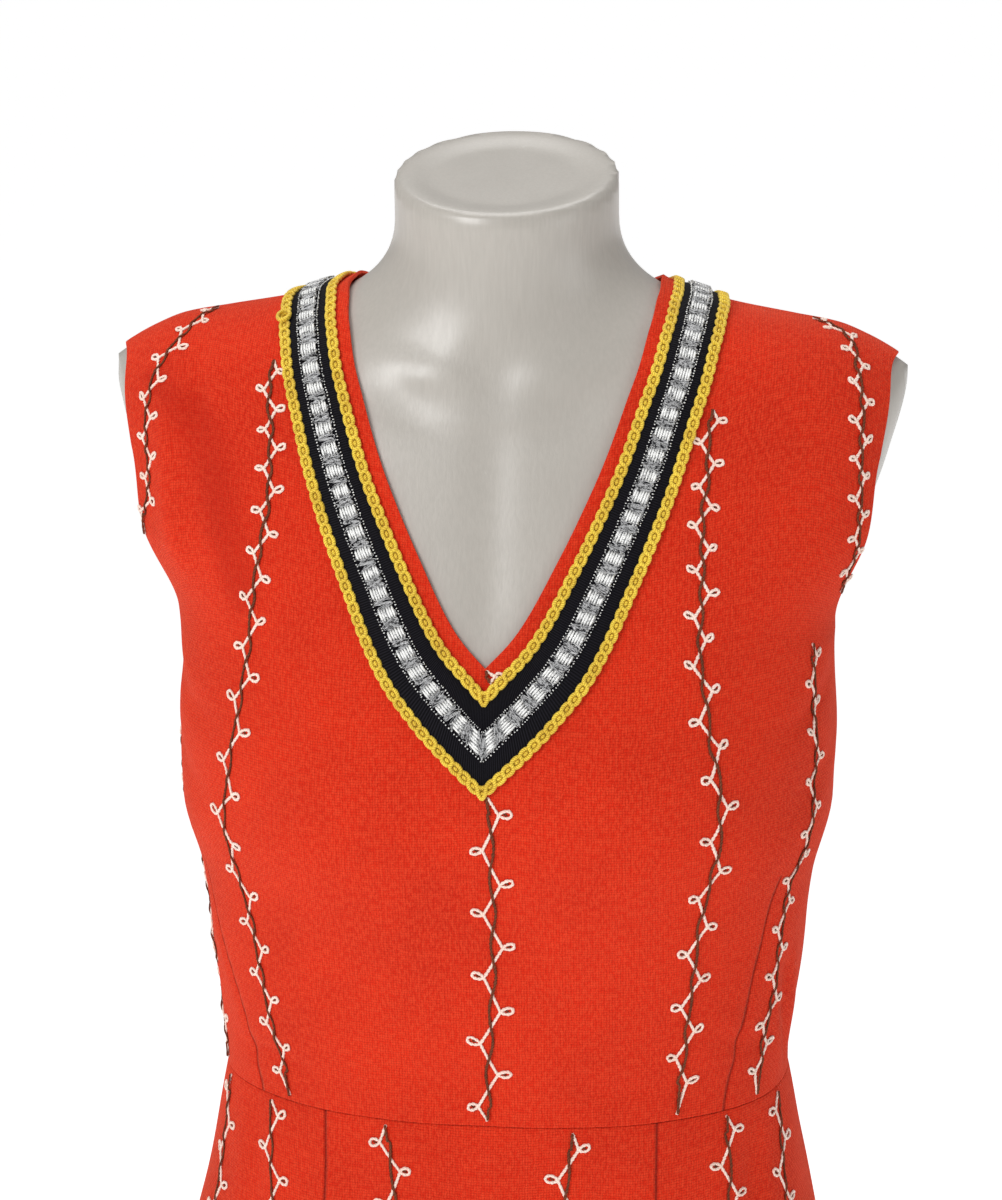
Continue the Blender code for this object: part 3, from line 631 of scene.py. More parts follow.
def swept(name: str, strands: Sequence[Strand], sides: int = 6) -> Piece:
    """One mesh of tubes with closed ends.

    Args:
        name: Name of the piece.
        strands: Its threads.
        sides: How many faces run round each thread.

    Returns:
        The object.  Its UV map holds the length along the thread in metres and the share round it.
    """
    turn = 2 * math.pi * np.arange(sides) / sides
    vertices: list[Array] = []
    faces: list[tuple[int, ...]] = []
    uvs: list[Array] = []
    start = 0
    for strand in strands:
        count = len(strand.points)
        tangent = unit(np.gradient(strand.points, axis=0))
        across = unit(np.cross(tangent, strand.normals))
        up = np.cross(across, tangent)
        ring = (
            strand.points[:, None]
            + across[:, None] * (strand.half_width[:, None] * np.cos(turn))[..., None]
            + up[:, None] * (strand.half_height[:, None] * np.sin(turn))[..., None]
        )
        vertices.append(ring.reshape(-1, 3))
        length = lengths_along(strand.points)
        for i in range(count - 1):
            a = start + i * sides
            for j in range(sides):
                after = (j + 1) % sides
                faces.append((a + j, a + after, a + sides + after, a + sides + j))
        low, high = length[:-1, None], length[1:, None]
        share = np.arange(sides)[None, :] / sides
        following = share + 1 / sides
        around = ((low, share), (low, following), (high, following), (high, share))
        corners = np.stack([np.stack(np.broadcast_arrays(*pair), -1) for pair in around], axis=2)
        uvs.append(corners.reshape(-1, 2))
        faces.append(tuple(start + j for j in range(sides - 1, -1, -1)))
        last = start + (count - 1) * sides
        faces.append(tuple(last + j for j in range(sides)))
        uvs.append(np.stack([np.zeros(sides), share[0]], -1))
        uvs.append(np.stack([np.full(sides, length[-1]), share[0]], -1))
        start += count * sides
    mesh = bpy.data.meshes.new(name)
    mesh.from_pydata(np.concatenate(vertices).tolist(), [], faces)
    layer = mesh.uv_layers.new(name="UVMap")
    layer.data.foreach_set("uv", np.concatenate(uvs).astype(np.float32).ravel())
    piece = new_piece(name, mesh)
    mesh.shade_smooth()
    face_tubes_outwards(mesh)
    return piece


def face_tubes_outwards(mesh: bpy.types.Mesh) -> None:
    """Turns a mesh of closed tubes round if it holds a volume below zero."""
    mesh.calc_loop_triangles()
    corners = np.empty(len(mesh.loop_triangles) * 3, np.int64)
    mesh.loop_triangles.foreach_get("vertices", corners)
    triangles = coordinates(mesh)[corners.reshape(-1, 3)]
    if np.linalg.det(triangles).sum() < 0:
        mesh.flip_normals()


# Nodes and materials


@dataclass(frozen=True)
class NodeTree:
    """Adds and joins the nodes of one material or group."""

    tree: bpy.types.NodeTree

    def fill(self, socket: Socket, value: object) -> None:
        """Joins an input to another node's output, or gives it its own value.  A colour gets full alpha."""
        if isinstance(value, Socket):
            self.tree.links.new(value, socket)
        elif socket.type == "RGBA":
            socket.default_value = (*value, 1.0)
        else:
            socket.default_value = value

    def add(self, kind: str, inputs: dict | None = None, **values: object) -> bpy.types.Node:
        """Adds a node.

        Args:
            kind: The node's type name.
            inputs: Values or sockets for its inputs, by name or number.
            values: The node's own settings.

        Returns:
            The node.
        """
        node = self.tree.nodes.new(kind)
        for key, value in values.items():
            setattr(node, key, value)
        for key, value in (inputs or {}).items():
            self.fill(node.inputs[key], value)
        return node

    def math(self, operation: str, a: object, b: object = 0.0) -> Socket:
        """Result of a Math node."""
        return self.add("ShaderNodeMath", {0: a, 1: b}, operation=operation).outputs[0]

    def plus(self, a: object, b: object, share: float) -> Socket:
        """The first value and a share of the second."""
        return self.math("ADD", a, self.math("MULTIPLY", b, share))

    def vector(self, operation: str, a: object, b: object) -> Socket:
        """Result of a Vector Math node."""
        return self.add("ShaderNodeVectorMath", {0: a, 1: b}, operation=operation).outputs[0]

    def noise(self, vector: object, scale: float, detail: float = 3.0, roughness: float = 0.6) -> Socket:
        """Value of a Noise Texture."""
        inputs = {"Vector": vector, "Scale": scale, "Detail": detail, "Roughness": roughness}
        return self.add("ShaderNodeTexNoise", inputs).outputs["Fac"]

    def ramp(
        self, value: object, low: float, high: float, to_low: float, to_high: float, kind: str = "LINEAR"
    ) -> Socket:
        """Value moved from one range to another, and kept inside it."""
        inputs = {"Value": value, "From Min": low, "From Max": high, "To Min": to_low, "To Max": to_high}
        return self.add("ShaderNodeMapRange", inputs, interpolation_type=kind).outputs["Result"]

    def mix(self, share: object, first: object, second: object) -> Socket:
        """Mixture of two colours."""
        node = self.add("ShaderNodeMix", data_type="RGBA")
        for key, value in (("Factor", share), ("A", first), ("B", second)):
            self.fill(next(s for s in node.inputs if s.name == key and s.enabled), value)
        return next(s for s in node.outputs if s.enabled)


def new_group(name: str, inputs: dict[str, float], outputs: Sequence[str]) -> NodeTree:
    """Starts a node group that takes a Vector.

    Args:
        name: Its name.
        inputs: Its number inputs and their first values.
        outputs: Its number outputs.

    Returns:
        The tree, whose input and output nodes are named In and Out.
    """
    group = bpy.data.node_groups.new(name, "ShaderNodeTree")
    group.interface.new_socket("Vector", in_out="INPUT", socket_type="NodeSocketVector")
    for key, value in inputs.items():
        socket = group.interface.new_socket(key, in_out="INPUT", socket_type="NodeSocketFloat")
        socket.default_value = value
    for key in outputs:
        group.interface.new_socket(key, in_out="OUTPUT", socket_type="NodeSocketFloat")
    tree = NodeTree(group)
    tree.add("NodeGroupInput", name="In")
    tree.add("NodeGroupOutput", name="Out")
    return tree


def weave_group() -> bpy.types.NodeTree:
    """Plain weave on a UV map in metres: height of the threads and an uneven tone."""
    tree = new_group("Plain weave", {"Pitch": 0.001, "Wander": 0.4}, ("Height", "Tone"))
    given = tree.tree.nodes["In"].outputs
    wander = tree.add("ShaderNodeTexNoise", {"Vector": given["Vector"], "Scale": 420.0, "Detail": 2.0})
    shifted = tree.vector("SUBTRACT", wander.outputs["Color"], (0.5, 0.5, 0.5))
    amount = tree.math("MULTIPLY", given["Wander"], given["Pitch"])
    moved = tree.add("ShaderNodeVectorMath", {0: shifted, "Scale": amount}, operation="SCALE").outputs[0]
    split = tree.add("ShaderNodeSeparateXYZ", {0: tree.vector("ADD", given["Vector"], moved)})
    across = tree.math("DIVIDE", split.outputs[0], given["Pitch"])
    up = tree.math("DIVIDE", split.outputs[1], given["Pitch"])
    warp = tree.math("ABSOLUTE", tree.math("SINE", tree.math("MULTIPLY", across, math.pi)))
    weft = tree.math("ABSOLUTE", tree.math("SINE", tree.math("MULTIPLY", up, math.pi)))
    cell = tree.math("ADD", tree.math("FLOOR", across), tree.math("FLOOR", up))
    over = tree.math("MODULO", tree.math("ABSOLUTE", cell), 2.0)
    under = tree.math("SUBTRACT", 1.0, over)
    height = tree.math("ADD", tree.math("MULTIPLY", warp, over), tree.math("MULTIPLY", weft, under))
    lengthways = tree.noise(tree.vector("MULTIPLY", given["Vector"], (680.0, 270.0, 1.0)), 1.0, 2.0)
    crossways = tree.noise(tree.vector("MULTIPLY", given["Vector"], (360.0, 640.0, 1.0)), 1.0, 2.0)
    slub = tree.plus(tree.math("MULTIPLY", lengthways, 0.72), crossways, 0.28)
    out = tree.tree.nodes["Out"]
    tree.fill(out.inputs["Height"], height)
    tree.fill(out.inputs["Tone"], slub)
    return tree.tree


def twist_group() -> bpy.types.NodeTree:
    """Plies of a twisted thread on the UV map of a swept tube."""
    tree = new_group("Twisted plies", {"Lay": 0.0016, "Plies": 2.0}, ("Height",))
    given = tree.tree.nodes["In"].outputs
    split = tree.add("ShaderNodeSeparateXYZ", {0: given["Vector"]})
    along = tree.math("DIVIDE", split.outputs[0], given["Lay"])
    around = tree.math("MULTIPLY", split.outputs[1], given["Plies"])
    wave = tree.math("SINE", tree.math("MULTIPLY", tree.math("ADD", along, around), math.pi))
    tree.fill(tree.tree.nodes["Out"].inputs["Height"], tree.math("ABSOLUTE", wave))
    return tree.tree


class Finish:
    """Starts a material with a Principled shader and holds what all finishes share."""

    def __init__(self, name: str) -> None:
        """Makes the empty material."""
        self.material = bpy.data.materials.new(name)
        self.material.use_nodes = True
        self.nodes = NodeTree(self.material.node_tree)
        self.shader = self.material.node_tree.nodes["Principled BSDF"]

    def set(self, **values: object) -> None:
        """Sets or joins inputs of the shader; an underscore stands for a space."""
        for key, value in values.items():
            self.nodes.fill(self.shader.inputs[key.replace("_", " ")], value)

    def bump(self, height: object, distance: float, strength: float = 1.0, under: object = None) -> object:
        """Normal of a Bump node."""
        inputs = {"Height": height, "Distance": distance, "Strength": strength}
        if under is not None:
            inputs["Normal"] = under
        return self.nodes.add("ShaderNodeBump", inputs).outputs["Normal"]

    def group(self, tree: bpy.types.NodeTree, vector: object, **values: float) -> bpy.types.Node:
        """Places a node group with its own values."""
        return self.nodes.add("ShaderNodeGroup", {"Vector": vector, **values}, node_tree=tree)

    def coordinate(self, kind: str) -> object:
        """A socket of the Texture Coordinate node."""
        return self.nodes.add("ShaderNodeTexCoord").outputs[kind]


@dataclass(frozen=True)
class WoolFinish:
    """Matt wool: plain weave with uneven threads, short fibres, sunken seams and shade painted into its
    colour along given lines.
    """

    name: str
    weave: bpy.types.NodeTree
    seams: tuple[str, ...] = ()
    # Attributes of lines along which shade is painted into the cloth's colour, in place of a fold's shading
    folds: tuple[str, ...] = ()
    colour: Colour = (0.700, 0.0255, 0.0060)
    shade: Colour = (0.400, 0.0100, 0.0030)
    light: Colour = (0.860, 0.0760, 0.0260)
    seam_shade: Colour = (0.22, 0.006, 0.004)
    pitch: float = 0.00135
    # How far the painted shade reaches from its line
    painted_shade_reach: float = 0.018

    def gap(self, nodes: NodeTree, name: str) -> Socket:
        """Distance from a sewn line or from a line of painted shade, which the cloth holds as an attribute.
        """
        read = nodes.add("ShaderNodeAttribute", attribute_name=name).outputs["Vector"]
        beside, past, _ = nodes.add("ShaderNodeSeparateXYZ", {0: read}).outputs
        return nodes.math("ADD", nodes.math("ABSOLUTE", beside), past)

    def material(self) -> Material:
        """Builds the material."""
        finish = Finish(self.name)
        nodes = finish.nodes
        uv = finish.coordinate("UV")
        place = finish.coordinate("Object")
        weave = finish.group(self.weave, uv, Pitch=self.pitch, Wander=0.9)
        slub = nodes.ramp(weave.outputs["Tone"], 0.42, 0.58, 0.0, 1.0)
        deep = nodes.ramp(weave.outputs["Height"], 0.0, 0.70, 1.0, 0.0)
        cloud = nodes.noise(place, 16.0, 3.0)
        base = nodes.mix(nodes.ramp(cloud, 0.35, 0.68, 0.0, 0.4), self.colour, self.shade)
        threads = nodes.mix(nodes.math("MULTIPLY", slub, 0.45), base, self.light)
        colour = nodes.mix(nodes.math("MULTIPLY", deep, 0.85), threads, self.shade)
        fibre = nodes.noise(place, 2600.0, 2.0)
        lit = nodes.mix(nodes.ramp(fibre, 0.60, 0.78, 0.0, 0.35), colour, self.light)
        height = nodes.plus(nodes.plus(weave.outputs["Height"], fibre, 0.7), slub, 0.8)
        normal = finish.bump(height, 0.00022, 0.8)
        for seam in self.seams:
            gap = self.gap(nodes, seam)
            normal = finish.bump(nodes.ramp(gap, 0.0, 0.0014, 0.0, 1.0), 0.0009, 1.0, normal)
            lit = nodes.mix(nodes.ramp(gap, 0.0002, 0.0011, 0.75, 0.0), lit, self.seam_shade)
        # Painted shade: near each of these lines the colour is darkened towards the shade colour, in place of
        # a fold's real shading
        for fold in self.folds:
            share = nodes.ramp(self.gap(nodes, fold), 0.0, self.painted_shade_reach, 0.42, 0.0, "SMOOTHERSTEP")
            lit = nodes.mix(share, lit, self.shade)
        finish.set(Base_Color=lit, Roughness=0.92, Normal=normal)
        finish.set(Sheen_Weight=0.42, Sheen_Roughness=0.45, Sheen_Tint=(1.0, 0.22, 0.12))
        finish.set(Specular_IOR_Level=0.12)
        return finish.material


@dataclass(frozen=True)
class RibbonFinish:
    """Black ribbon with fine ribs across it."""

    name: str
    colour: Colour = (0.0015, 0.0013, 0.0020)
    rib_light: Colour = (0.012, 0.011, 0.016)
    dust: Colour = (0.03, 0.026, 0.028)
    rib: float = 0.00120

    def material(self) -> Material:
        """Builds the material."""
        finish = Finish(self.name)
        nodes = finish.nodes
        uv = finish.coordinate("UV")
        split = nodes.add("ShaderNodeSeparateXYZ", {0: uv})
        along = nodes.math("MULTIPLY", split.outputs[0], 2 * math.pi / self.rib)
        rib = nodes.math("ADD", nodes.math("MULTIPLY", nodes.math("SINE", along), 0.5), 0.5)
        fine = nodes.noise(uv, 1700.0, 2.0)
        top = nodes.mix(nodes.math("MULTIPLY", rib, 0.8), self.colour, self.rib_light)
        dusty = nodes.mix(nodes.ramp(fine, 0.58, 0.8, 0.0, 0.3), top, self.dust)
        height = nodes.plus(rib, fine, 0.3)
        finish.set(Base_Color=dusty, Roughness=nodes.ramp(rib, 0.0, 1.0, 0.75, 0.5))
        finish.set(Normal=finish.bump(height, 0.00025, 0.9), Specular_IOR_Level=0.08)
        return finish.material


@dataclass(frozen=True)
class ThreadFinish:
    """Twisted cotton or silk thread."""

    name: str
    twist: bpy.types.NodeTree
    colour: Colour
    shade: Colour
    lay: float = 0.0016
    roughness: float = 0.6
    depth: float = 0.00018
    sheen: float = 0.15
    gloss: float = 0.35

    def material(self) -> Material:
        """Builds the material."""
        finish = Finish(self.name)
        nodes = finish.nodes
        plies = finish.group(self.twist, finish.coordinate("UV"), Lay=self.lay, Plies=2.0).outputs["Height"]
        place = finish.coordinate("Object")
        fibre = nodes.noise(place, 1900.0, 2.0)
        patch = nodes.noise(place, 120.0, 2.0)
        deep = nodes.ramp(plies, 0.0, 0.6, 0.85, 0.0)
        toned = nodes.mix(nodes.ramp(patch, 0.35, 0.7, 0.0, 0.45), self.colour, self.shade)
        colour = nodes.mix(deep, toned, self.shade)
        height = nodes.plus(plies, fibre, 0.4)
        finish.set(Base_Color=colour, Roughness=self.roughness, Normal=finish.bump(height, self.depth, 0.9))
        finish.set(Sheen_Weight=self.sheen, Specular_IOR_Level=self.gloss)
        return finish.material


@dataclass(frozen=True)
class SilverFinish:
    """Silver metal thread that sparkles."""

    name: str
    twist: bpy.types.NodeTree
    colour: Colour = (0.86, 0.86, 0.87)
    dark: Colour = (0.02, 0.02, 0.025)
    lay: float = 0.0009
    sparkle: float = 620.0
    roughness: float = 0.30
    gloom: Pair = (0.40, 0.48)
    metal: float = 0.3

    def material(self) -> Material:
        """Builds the material."""
        finish = Finish(self.name)
        nodes = finish.nodes
        plies = finish.group(self.twist, finish.coordinate("UV"), Lay=self.lay, Plies=2.0).outputs["Height"]
        grain = nodes.noise(finish.coordinate("Object"), self.sparkle, 2.0, 0.7)
        dull = nodes.ramp(grain, *self.gloom, 0.95, 0.0)
        colour = nodes.mix(dull, self.colour, self.dark)
        height = nodes.plus(grain, plies, 0.6)
        finish.set(Base_Color=colour, Metallic=self.metal)
        finish.set(Roughness=nodes.ramp(grain, 0.3, 0.7, self.roughness + 0.2, self.roughness))
        finish.set(Normal=finish.bump(height, 0.0004, 1.0))
        return finish.material


@dataclass(frozen=True)
class PlasticFinish:
    """Pale grey satin plastic with fine upright streaks and faint scuffs."""

    name: str
    colour: Colour = (0.445, 0.416, 0.375)
    shade: Colour = (0.378, 0.352, 0.316)
    scuff: Colour = (0.60, 0.60, 0.57)

    def material(self) -> Material:
        """Builds the material."""
        finish = Finish(self.name)
        nodes = finish.nodes
        place = finish.coordinate("Object")
        cloud = nodes.noise(place, 9.0, 4.0)
        turned = nodes.add(
            "ShaderNodeMapping", {"Vector": place, "Scale": (90.0, 90.0, 14.0), "Rotation": (0.3, 0.5, 0.2)}
        ).outputs[0]
        streak = nodes.noise(turned, 1.0, 5.0, 0.7)
        brushed = nodes.add("ShaderNodeMapping", {"Vector": place, "Scale": (620.0, 620.0, 42.0)}).outputs[0]
        line = nodes.ramp(nodes.noise(brushed, 1.0, 2.0), 0.34, 0.66, 0.0, 1.0)
        cloudy = nodes.mix(nodes.ramp(cloud, 0.35, 0.7, 0.0, 0.55), self.colour, self.shade)
        colour = nodes.mix(nodes.math("MULTIPLY", line, 0.45), cloudy, self.shade)
        marked = nodes.mix(nodes.ramp(streak, 0.66, 0.76, 0.0, 0.35), colour, self.scuff)
        finish.set(Base_Color=marked, Roughness=nodes.ramp(streak, 0.3, 0.75, 0.32, 0.46))
        height = nodes.plus(streak, line, 0.6)
        finish.set(Normal=finish.bump(height, 0.00010, 0.5), Coat_Weight=0.25, Coat_Roughness=0.22)
        return finish.material


@dataclass(frozen=True)
class SteelFinish:
    """Pale painted steel with a light orange peel and cloudy gloss."""

    name: str
    colour: Colour = (0.46, 0.46, 0.45)
    shade: Colour = (0.40, 0.40, 0.39)

    def material(self) -> Material:
        """Builds the material."""
        finish = Finish(self.name)
        nodes = finish.nodes
        place = finish.coordinate("Object")
        peel = nodes.noise(place, 700.0, 1.0)
        cloud = nodes.noise(place, 12.0, 4.0)
        colour = nodes.mix(nodes.ramp(cloud, 0.4, 0.7, 0.0, 0.5), self.colour, self.shade)
        finish.set(Base_Color=colour, Metallic=0.25, Roughness=nodes.ramp(cloud, 0.3, 0.7, 0.30, 0.42))
        finish.set(Normal=finish.bump(peel, 0.00008, 0.4), Coat_Weight=0.3, Coat_Roughness=0.15)
        return finish.material


@dataclass(frozen=True)
class Finishes:
    """All materials of the part."""

    bodice: Material
    skirt: Material
    ribbon: Material
    yellow: Material
    silver: Material
    silver_blocks: Material
    cream: Material
    brown: Material
    plastic: Material
    steel: Material


def make_finishes() -> Finishes:
    """Builds every material once."""
    weave = weave_group()
    twist = twist_group()
    return Finishes(
        # The bodice's wool has shade painted along one line on the wearer's right
        bodice=WoolFinish("wool bodice", weave, ("dart_left", "dart_right"), ("painted_shade_right",)).material(),
        skirt=WoolFinish("wool skirt", weave, ("seam_left", "seam_right", "hem")).material(),
        ribbon=RibbonFinish("ribbed ribbon").material(),
        yellow=ThreadFinish(
            "yellow gimp", twist, colour=(0.96, 0.70, 0.065), shade=(0.50, 0.25, 0.004),
            lay=0.0011, roughness=0.55, depth=0.0003, sheen=0.1,
        ).material(),
        silver=SilverFinish("silver thread", twist).material(),
        silver_blocks=SilverFinish(
            "silver strips", twist, colour=(0.97, 0.97, 0.95), dark=(0.22, 0.22, 0.23),
            lay=0.0012, sparkle=520.0, roughness=0.34, gloom=(0.32, 0.40), metal=0.1,
        ).material(),
        cream=ThreadFinish(
            "cream thread", twist, colour=(0.97, 0.80, 0.70), shade=(0.80, 0.48, 0.37), roughness=0.65
        ).material(),
        brown=ThreadFinish(
            "brown thread", twist, colour=(0.210, 0.060, 0.030), shade=(0.070, 0.022, 0.014),
            lay=0.0018, roughness=0.9, depth=0.0003, sheen=0.0, gloss=0.05,
        ).material(),
        plastic=PlasticFinish("form plastic").material(),
        steel=SteelFinish("painted steel").material(),
    )


# The dress


def dense_ends(count: int, pull: float = 0.72) -> Array:
    """Shares from 0 to 1 that lie closer together at both ends."""
    t = np.linspace(0.0, 1.0, count)
    return t - pull * np.sin(2 * math.pi * t) / (2 * math.pi)


def seam_limit(level: Array, shape: Shape) -> Array:
    """How near to the side an angle may come, so that the front and the back stay apart."""
    side_x = shape(np.full(np.shape(level), SIDE), level)[..., 0]
    return SIDE - 0.5 * SEAM_GAP / side_x


@dataclass(frozen=True)
class SeamOrShadeLine:
    """A sewn line, or a line along which shade is painted, along (degrees, level) points in rising order of
    level.
    """

    line: Line

    def offsets(self, points: Array) -> Array:
        """Distance beside the line, with a sign for the side, and distance past its ends, for each point."""
        degrees, level = np.asarray(self.line, float).T
        angle = np.arctan2(points[:, 0], -points[:, 1])
        at = np.radians(np.interp(points[:, 2], level, degrees))
        turn = np.mod(angle - at + math.pi, 2 * math.pi) - math.pi
        past = np.maximum(points[:, 2] - level[-1], 0.0) + np.maximum(level[0] - points[:, 2], 0.0)
        beside = np.hypot(points[:, 0], points[:, 1]) * turn
        return np.stack([beside, past, np.zeros(len(points))], -1)


@dataclass(frozen=True)
class LevelLine:
    """A line of stitches at one level all round."""

    level: float

    def offsets(self, points: Array) -> Array:
        """Height of each point over the line, in the same form as a seam's."""
        above = points[:, 2] - self.level
        return np.stack([above, np.zeros(len(points)), np.zeros(len(points))], -1)


class HalfGrid(NamedTuple):
    """Angles and levels of half of a panel, row by row, and how many rows join the other half."""

    angle: Array
    level: Array
    open_rows: int


@dataclass(frozen=True)
class Panel:
    """A cloth panel: a grid laid on a face, mirrored, creased and given its thickness."""

    name: str
    face: ClothFace
    half: HalfGrid
    rounding: float = 0.0005

    def sheet(self) -> Piece:
        """Half of the panel as a grid on the smooth face, joined with its mirror image."""
        rows, columns = self.half.angle.shape
        deselect_all()
        bpy.ops.mesh.primitive_grid_add(x_subdivisions=columns - 1, y_subdivisions=rows - 1, size=1.0)
        piece = active_piece(self.name)
        flat = coordinates(piece.data)
        i = np.rint((flat[:, 1] + 0.5) * (rows - 1)).astype(int)
        j = np.rint((flat[:, 0] + 0.5) * (columns - 1)).astype(int)
        grid = self.face.shape(self.half.angle, self.half.level)
        grid[: self.half.open_rows, 0, 0] = 0.0
        set_coordinates(piece.data, grid[i, j])
        across = np.stack([lengths_along(row) for row in grid])
        up = np.stack([lengths_along(row) for row in np.swapaxes(grid, 0, 1)], axis=1)
        start = np.abs(grid[:, :1, 0])
        set_uv(piece.data, np.stack([(across + start)[i, j], up[i, j]], -1))
        face_outwards(piece)
        apply_modifier(piece, "MIRROR", use_clip=False, merge_threshold=0.00002)
        return piece

    def build(self, seams: dict[str, SeamOrShadeLine | LevelLine]) -> Piece:
        """Builds the panel.

        Args:
            seams: Sewn lines, and lines of painted shade, on the panel by the name of the attribute that the
                wool reads.

        Returns:
            The closed cloth wall.
        """
        piece = self.sheet()
        set_coordinates(piece.data, self.face.exact(*self.face.locate(coordinates(piece.data))))
        points = coordinates(piece.data)
        for name, seam in seams.items():
            set_attribute(piece.data, name, seam.offsets(points))
        apply_modifier(piece, "SOLIDIFY", thickness=WALL, offset=-1.0, use_even_offset=True, use_rim=True)
        bevel(piece, self.rounding, math.radians(60))
        smooth(piece, 50.0)
        return piece


@dataclass(frozen=True)
class Bodice:
    """Front and back of the bodice."""

    face: ClothFace
    columns: int = 84
    lower_rows: int = 72
    upper_rows: int = 96
    back_middle_rows: int = 44
    shoulder_tip: float = 1.3536
    front_depth: float = 12.5
    back_depth: float = 13.5
    roundness_below: float = 0.90
    roundness_above: float = 0.65
    closing: float = 1.6

    def shares(self, count: int) -> Array:
        """Shares from 0 to 1 that lie closer together towards the shoulder seam."""
        return 1 - (1 - np.linspace(0.0, 1.0, count)) ** self.closing

    def armhole(self, shares: Array, depth: float) -> tuple[Array, Array]:
        """Offset from the side and level of the armhole from the underarm to the shoulder tip."""
        turn = math.pi * (1 - shares)
        middle = 0.5 * (self.shoulder_tip + UNDERARM_Z)
        reach = 0.5 * (self.shoulder_tip - UNDERARM_Z)
        roundness = self.roundness_below * (1 - shares) + self.roundness_above * shares
        offset = math.radians(depth) * np.maximum(np.sin(turn), 0.0) ** roundness
        return offset, middle + reach * np.cos(turn)

    def neck_angles(self, first: float, shares: Array) -> Array:
        """Angles at shares of the neckline's length from an angle to the shoulder seam."""
        fine = np.linspace(first, SIDE, 300)
        length = lengths_along(bodice_shape(fine, neck_level(fine)))
        return np.interp(shares * length[-1], length, fine)

    def grid(self, facing: Facing) -> HalfGrid:
        """Half of a bodice panel from the waist to the shoulder seam."""
        front = facing is Facing.FRONT
        share = dense_ends(self.columns + 1)
        if front:
            inner_angle = self.neck_angles(0.0, self.shares(self.upper_rows + 1))
            inner_level = neck_level(inner_angle)
        else:
            rising = np.linspace(UNDERARM_Z, neck_level(np.array(BACK)), self.back_middle_rows + 1)[:-1]
            angle = self.neck_angles(BACK, self.shares(self.upper_rows + 1 - self.back_middle_rows))
            inner_angle = np.concatenate([np.full(self.back_middle_rows, BACK), angle])
            inner_level = np.concatenate([rising, neck_level(angle)])
        depth = self.front_depth if front else self.back_depth
        offset, arm_level = self.armhole(self.shares(self.upper_rows + 1), depth)
        arm_angle = SIDE - offset if front else SIDE + offset
        upper_angle = inner_angle[:, None] * (1 - share) + arm_angle[:, None] * share
        upper_level = inner_level[:, None] * (1 - share) + arm_level[:, None] * share
        rise = dense_ends(self.lower_rows + 1, 0.5)[:-1, None]
        lower_angle = np.broadcast_to(upper_angle[0], (self.lower_rows, self.columns + 1))
        waist = WAIST_Z + 0.5 * SEAM_GAP
        angle = np.concatenate([lower_angle, upper_angle])
        level = np.concatenate([waist * (1 - rise) + upper_level[0] * rise, upper_level])
        limit = seam_limit(level, bodice_shape)
        angle = np.minimum(angle, limit) if front else np.maximum(angle, math.pi - limit)
        return HalfGrid(angle, level, self.lower_rows + 1 + (0 if front else self.back_middle_rows))

    def panel(self, facing: Facing, darts: tuple[Line, Line], finishes: Finishes) -> Piece:
        """Builds one panel with its two darts and the shade painted along a line on the wearer's right."""
        seams = {name: SeamOrShadeLine(line) for name, line in zip(("dart_left", "dart_right"), darts)}
        # Shade painted into the wool's colour along this line on the wearer's right
        seams["painted_shade_right"] = SeamOrShadeLine(RIGHT_PAINTED_SHADE_LINE)
        piece = Panel(f"bodice_{facing.value}_cloth", self.face, self.grid(facing)).build(seams)
        return finish_piece(piece, finishes.bodice, [f"bodice_{facing.value}"])

    def build(self, finishes: Finishes) -> None:
        """Builds both panels."""
        front = self.panel(Facing.FRONT, (LEFT_DART, RIGHT_DART), finishes)
        back = self.panel(Facing.BACK, (BACK_DART, mirrored_line(BACK_DART)), finishes)


@dataclass(frozen=True)
class Skirt:
    """Front and back of the skirt."""

    face: ClothFace
    columns: int = 76
    rows: int = 96
    seam_line: Line = ((37.0, 0.420), (41.4, 0.957), (43.3, 1.000))
    hem_depth: float = 0.030

    def grid(self, facing: Facing) -> HalfGrid:
        """Half of a skirt panel from the hem up to the waist."""
        top = WAIST_Z - 0.5 * SEAM_GAP
        rise = dense_ends(self.rows + 1, 0.5)
        level = (HEM_Z + rise * (top - HEM_Z))[:, None] * np.ones(self.columns + 1)
        angle = seam_limit(level, skirt_shape) * dense_ends(self.columns + 1)
        if facing is Facing.BACK:
            angle = math.pi - angle
        return HalfGrid(angle, level, self.rows + 1)

    def seams(self, facing: Facing) -> dict[str, SeamOrShadeLine | LevelLine]:
        """The panel's two seams and the stitches of its hem."""
        line = self.seam_line
        if facing is Facing.BACK:
            line = tuple((180.0 - degrees, level) for degrees, level in line)
        return {
            "seam_left": SeamOrShadeLine(line),
            "seam_right": SeamOrShadeLine(mirrored_line(line)),
            "hem": LevelLine(HEM_Z + self.hem_depth),
        }

    def build(self, finishes: Finishes) -> None:
        """Builds both panels."""
        for facing in Facing:
            name = f"skirt_{facing.value}"
            piece = Panel(f"{name}_cloth", self.face, self.grid(facing)).build(self.seams(facing))
            finish_piece(piece, finishes.skirt, [name])


# The trim round the neck


def leg_level(angle: Array) -> Array:
    """Level of one leg of the neckline, which runs straight on past the V at angles below zero."""
    (first, v_level), (second, next_level) = NECKLINE[:2]
    past = v_level + np.degrees(angle) * (next_level - v_level) / (second - first)
    return np.where(angle < 0, past, neck_level(angle))


# How far one leg of the neckline runs on past the V, in degrees
PAST_V = 28


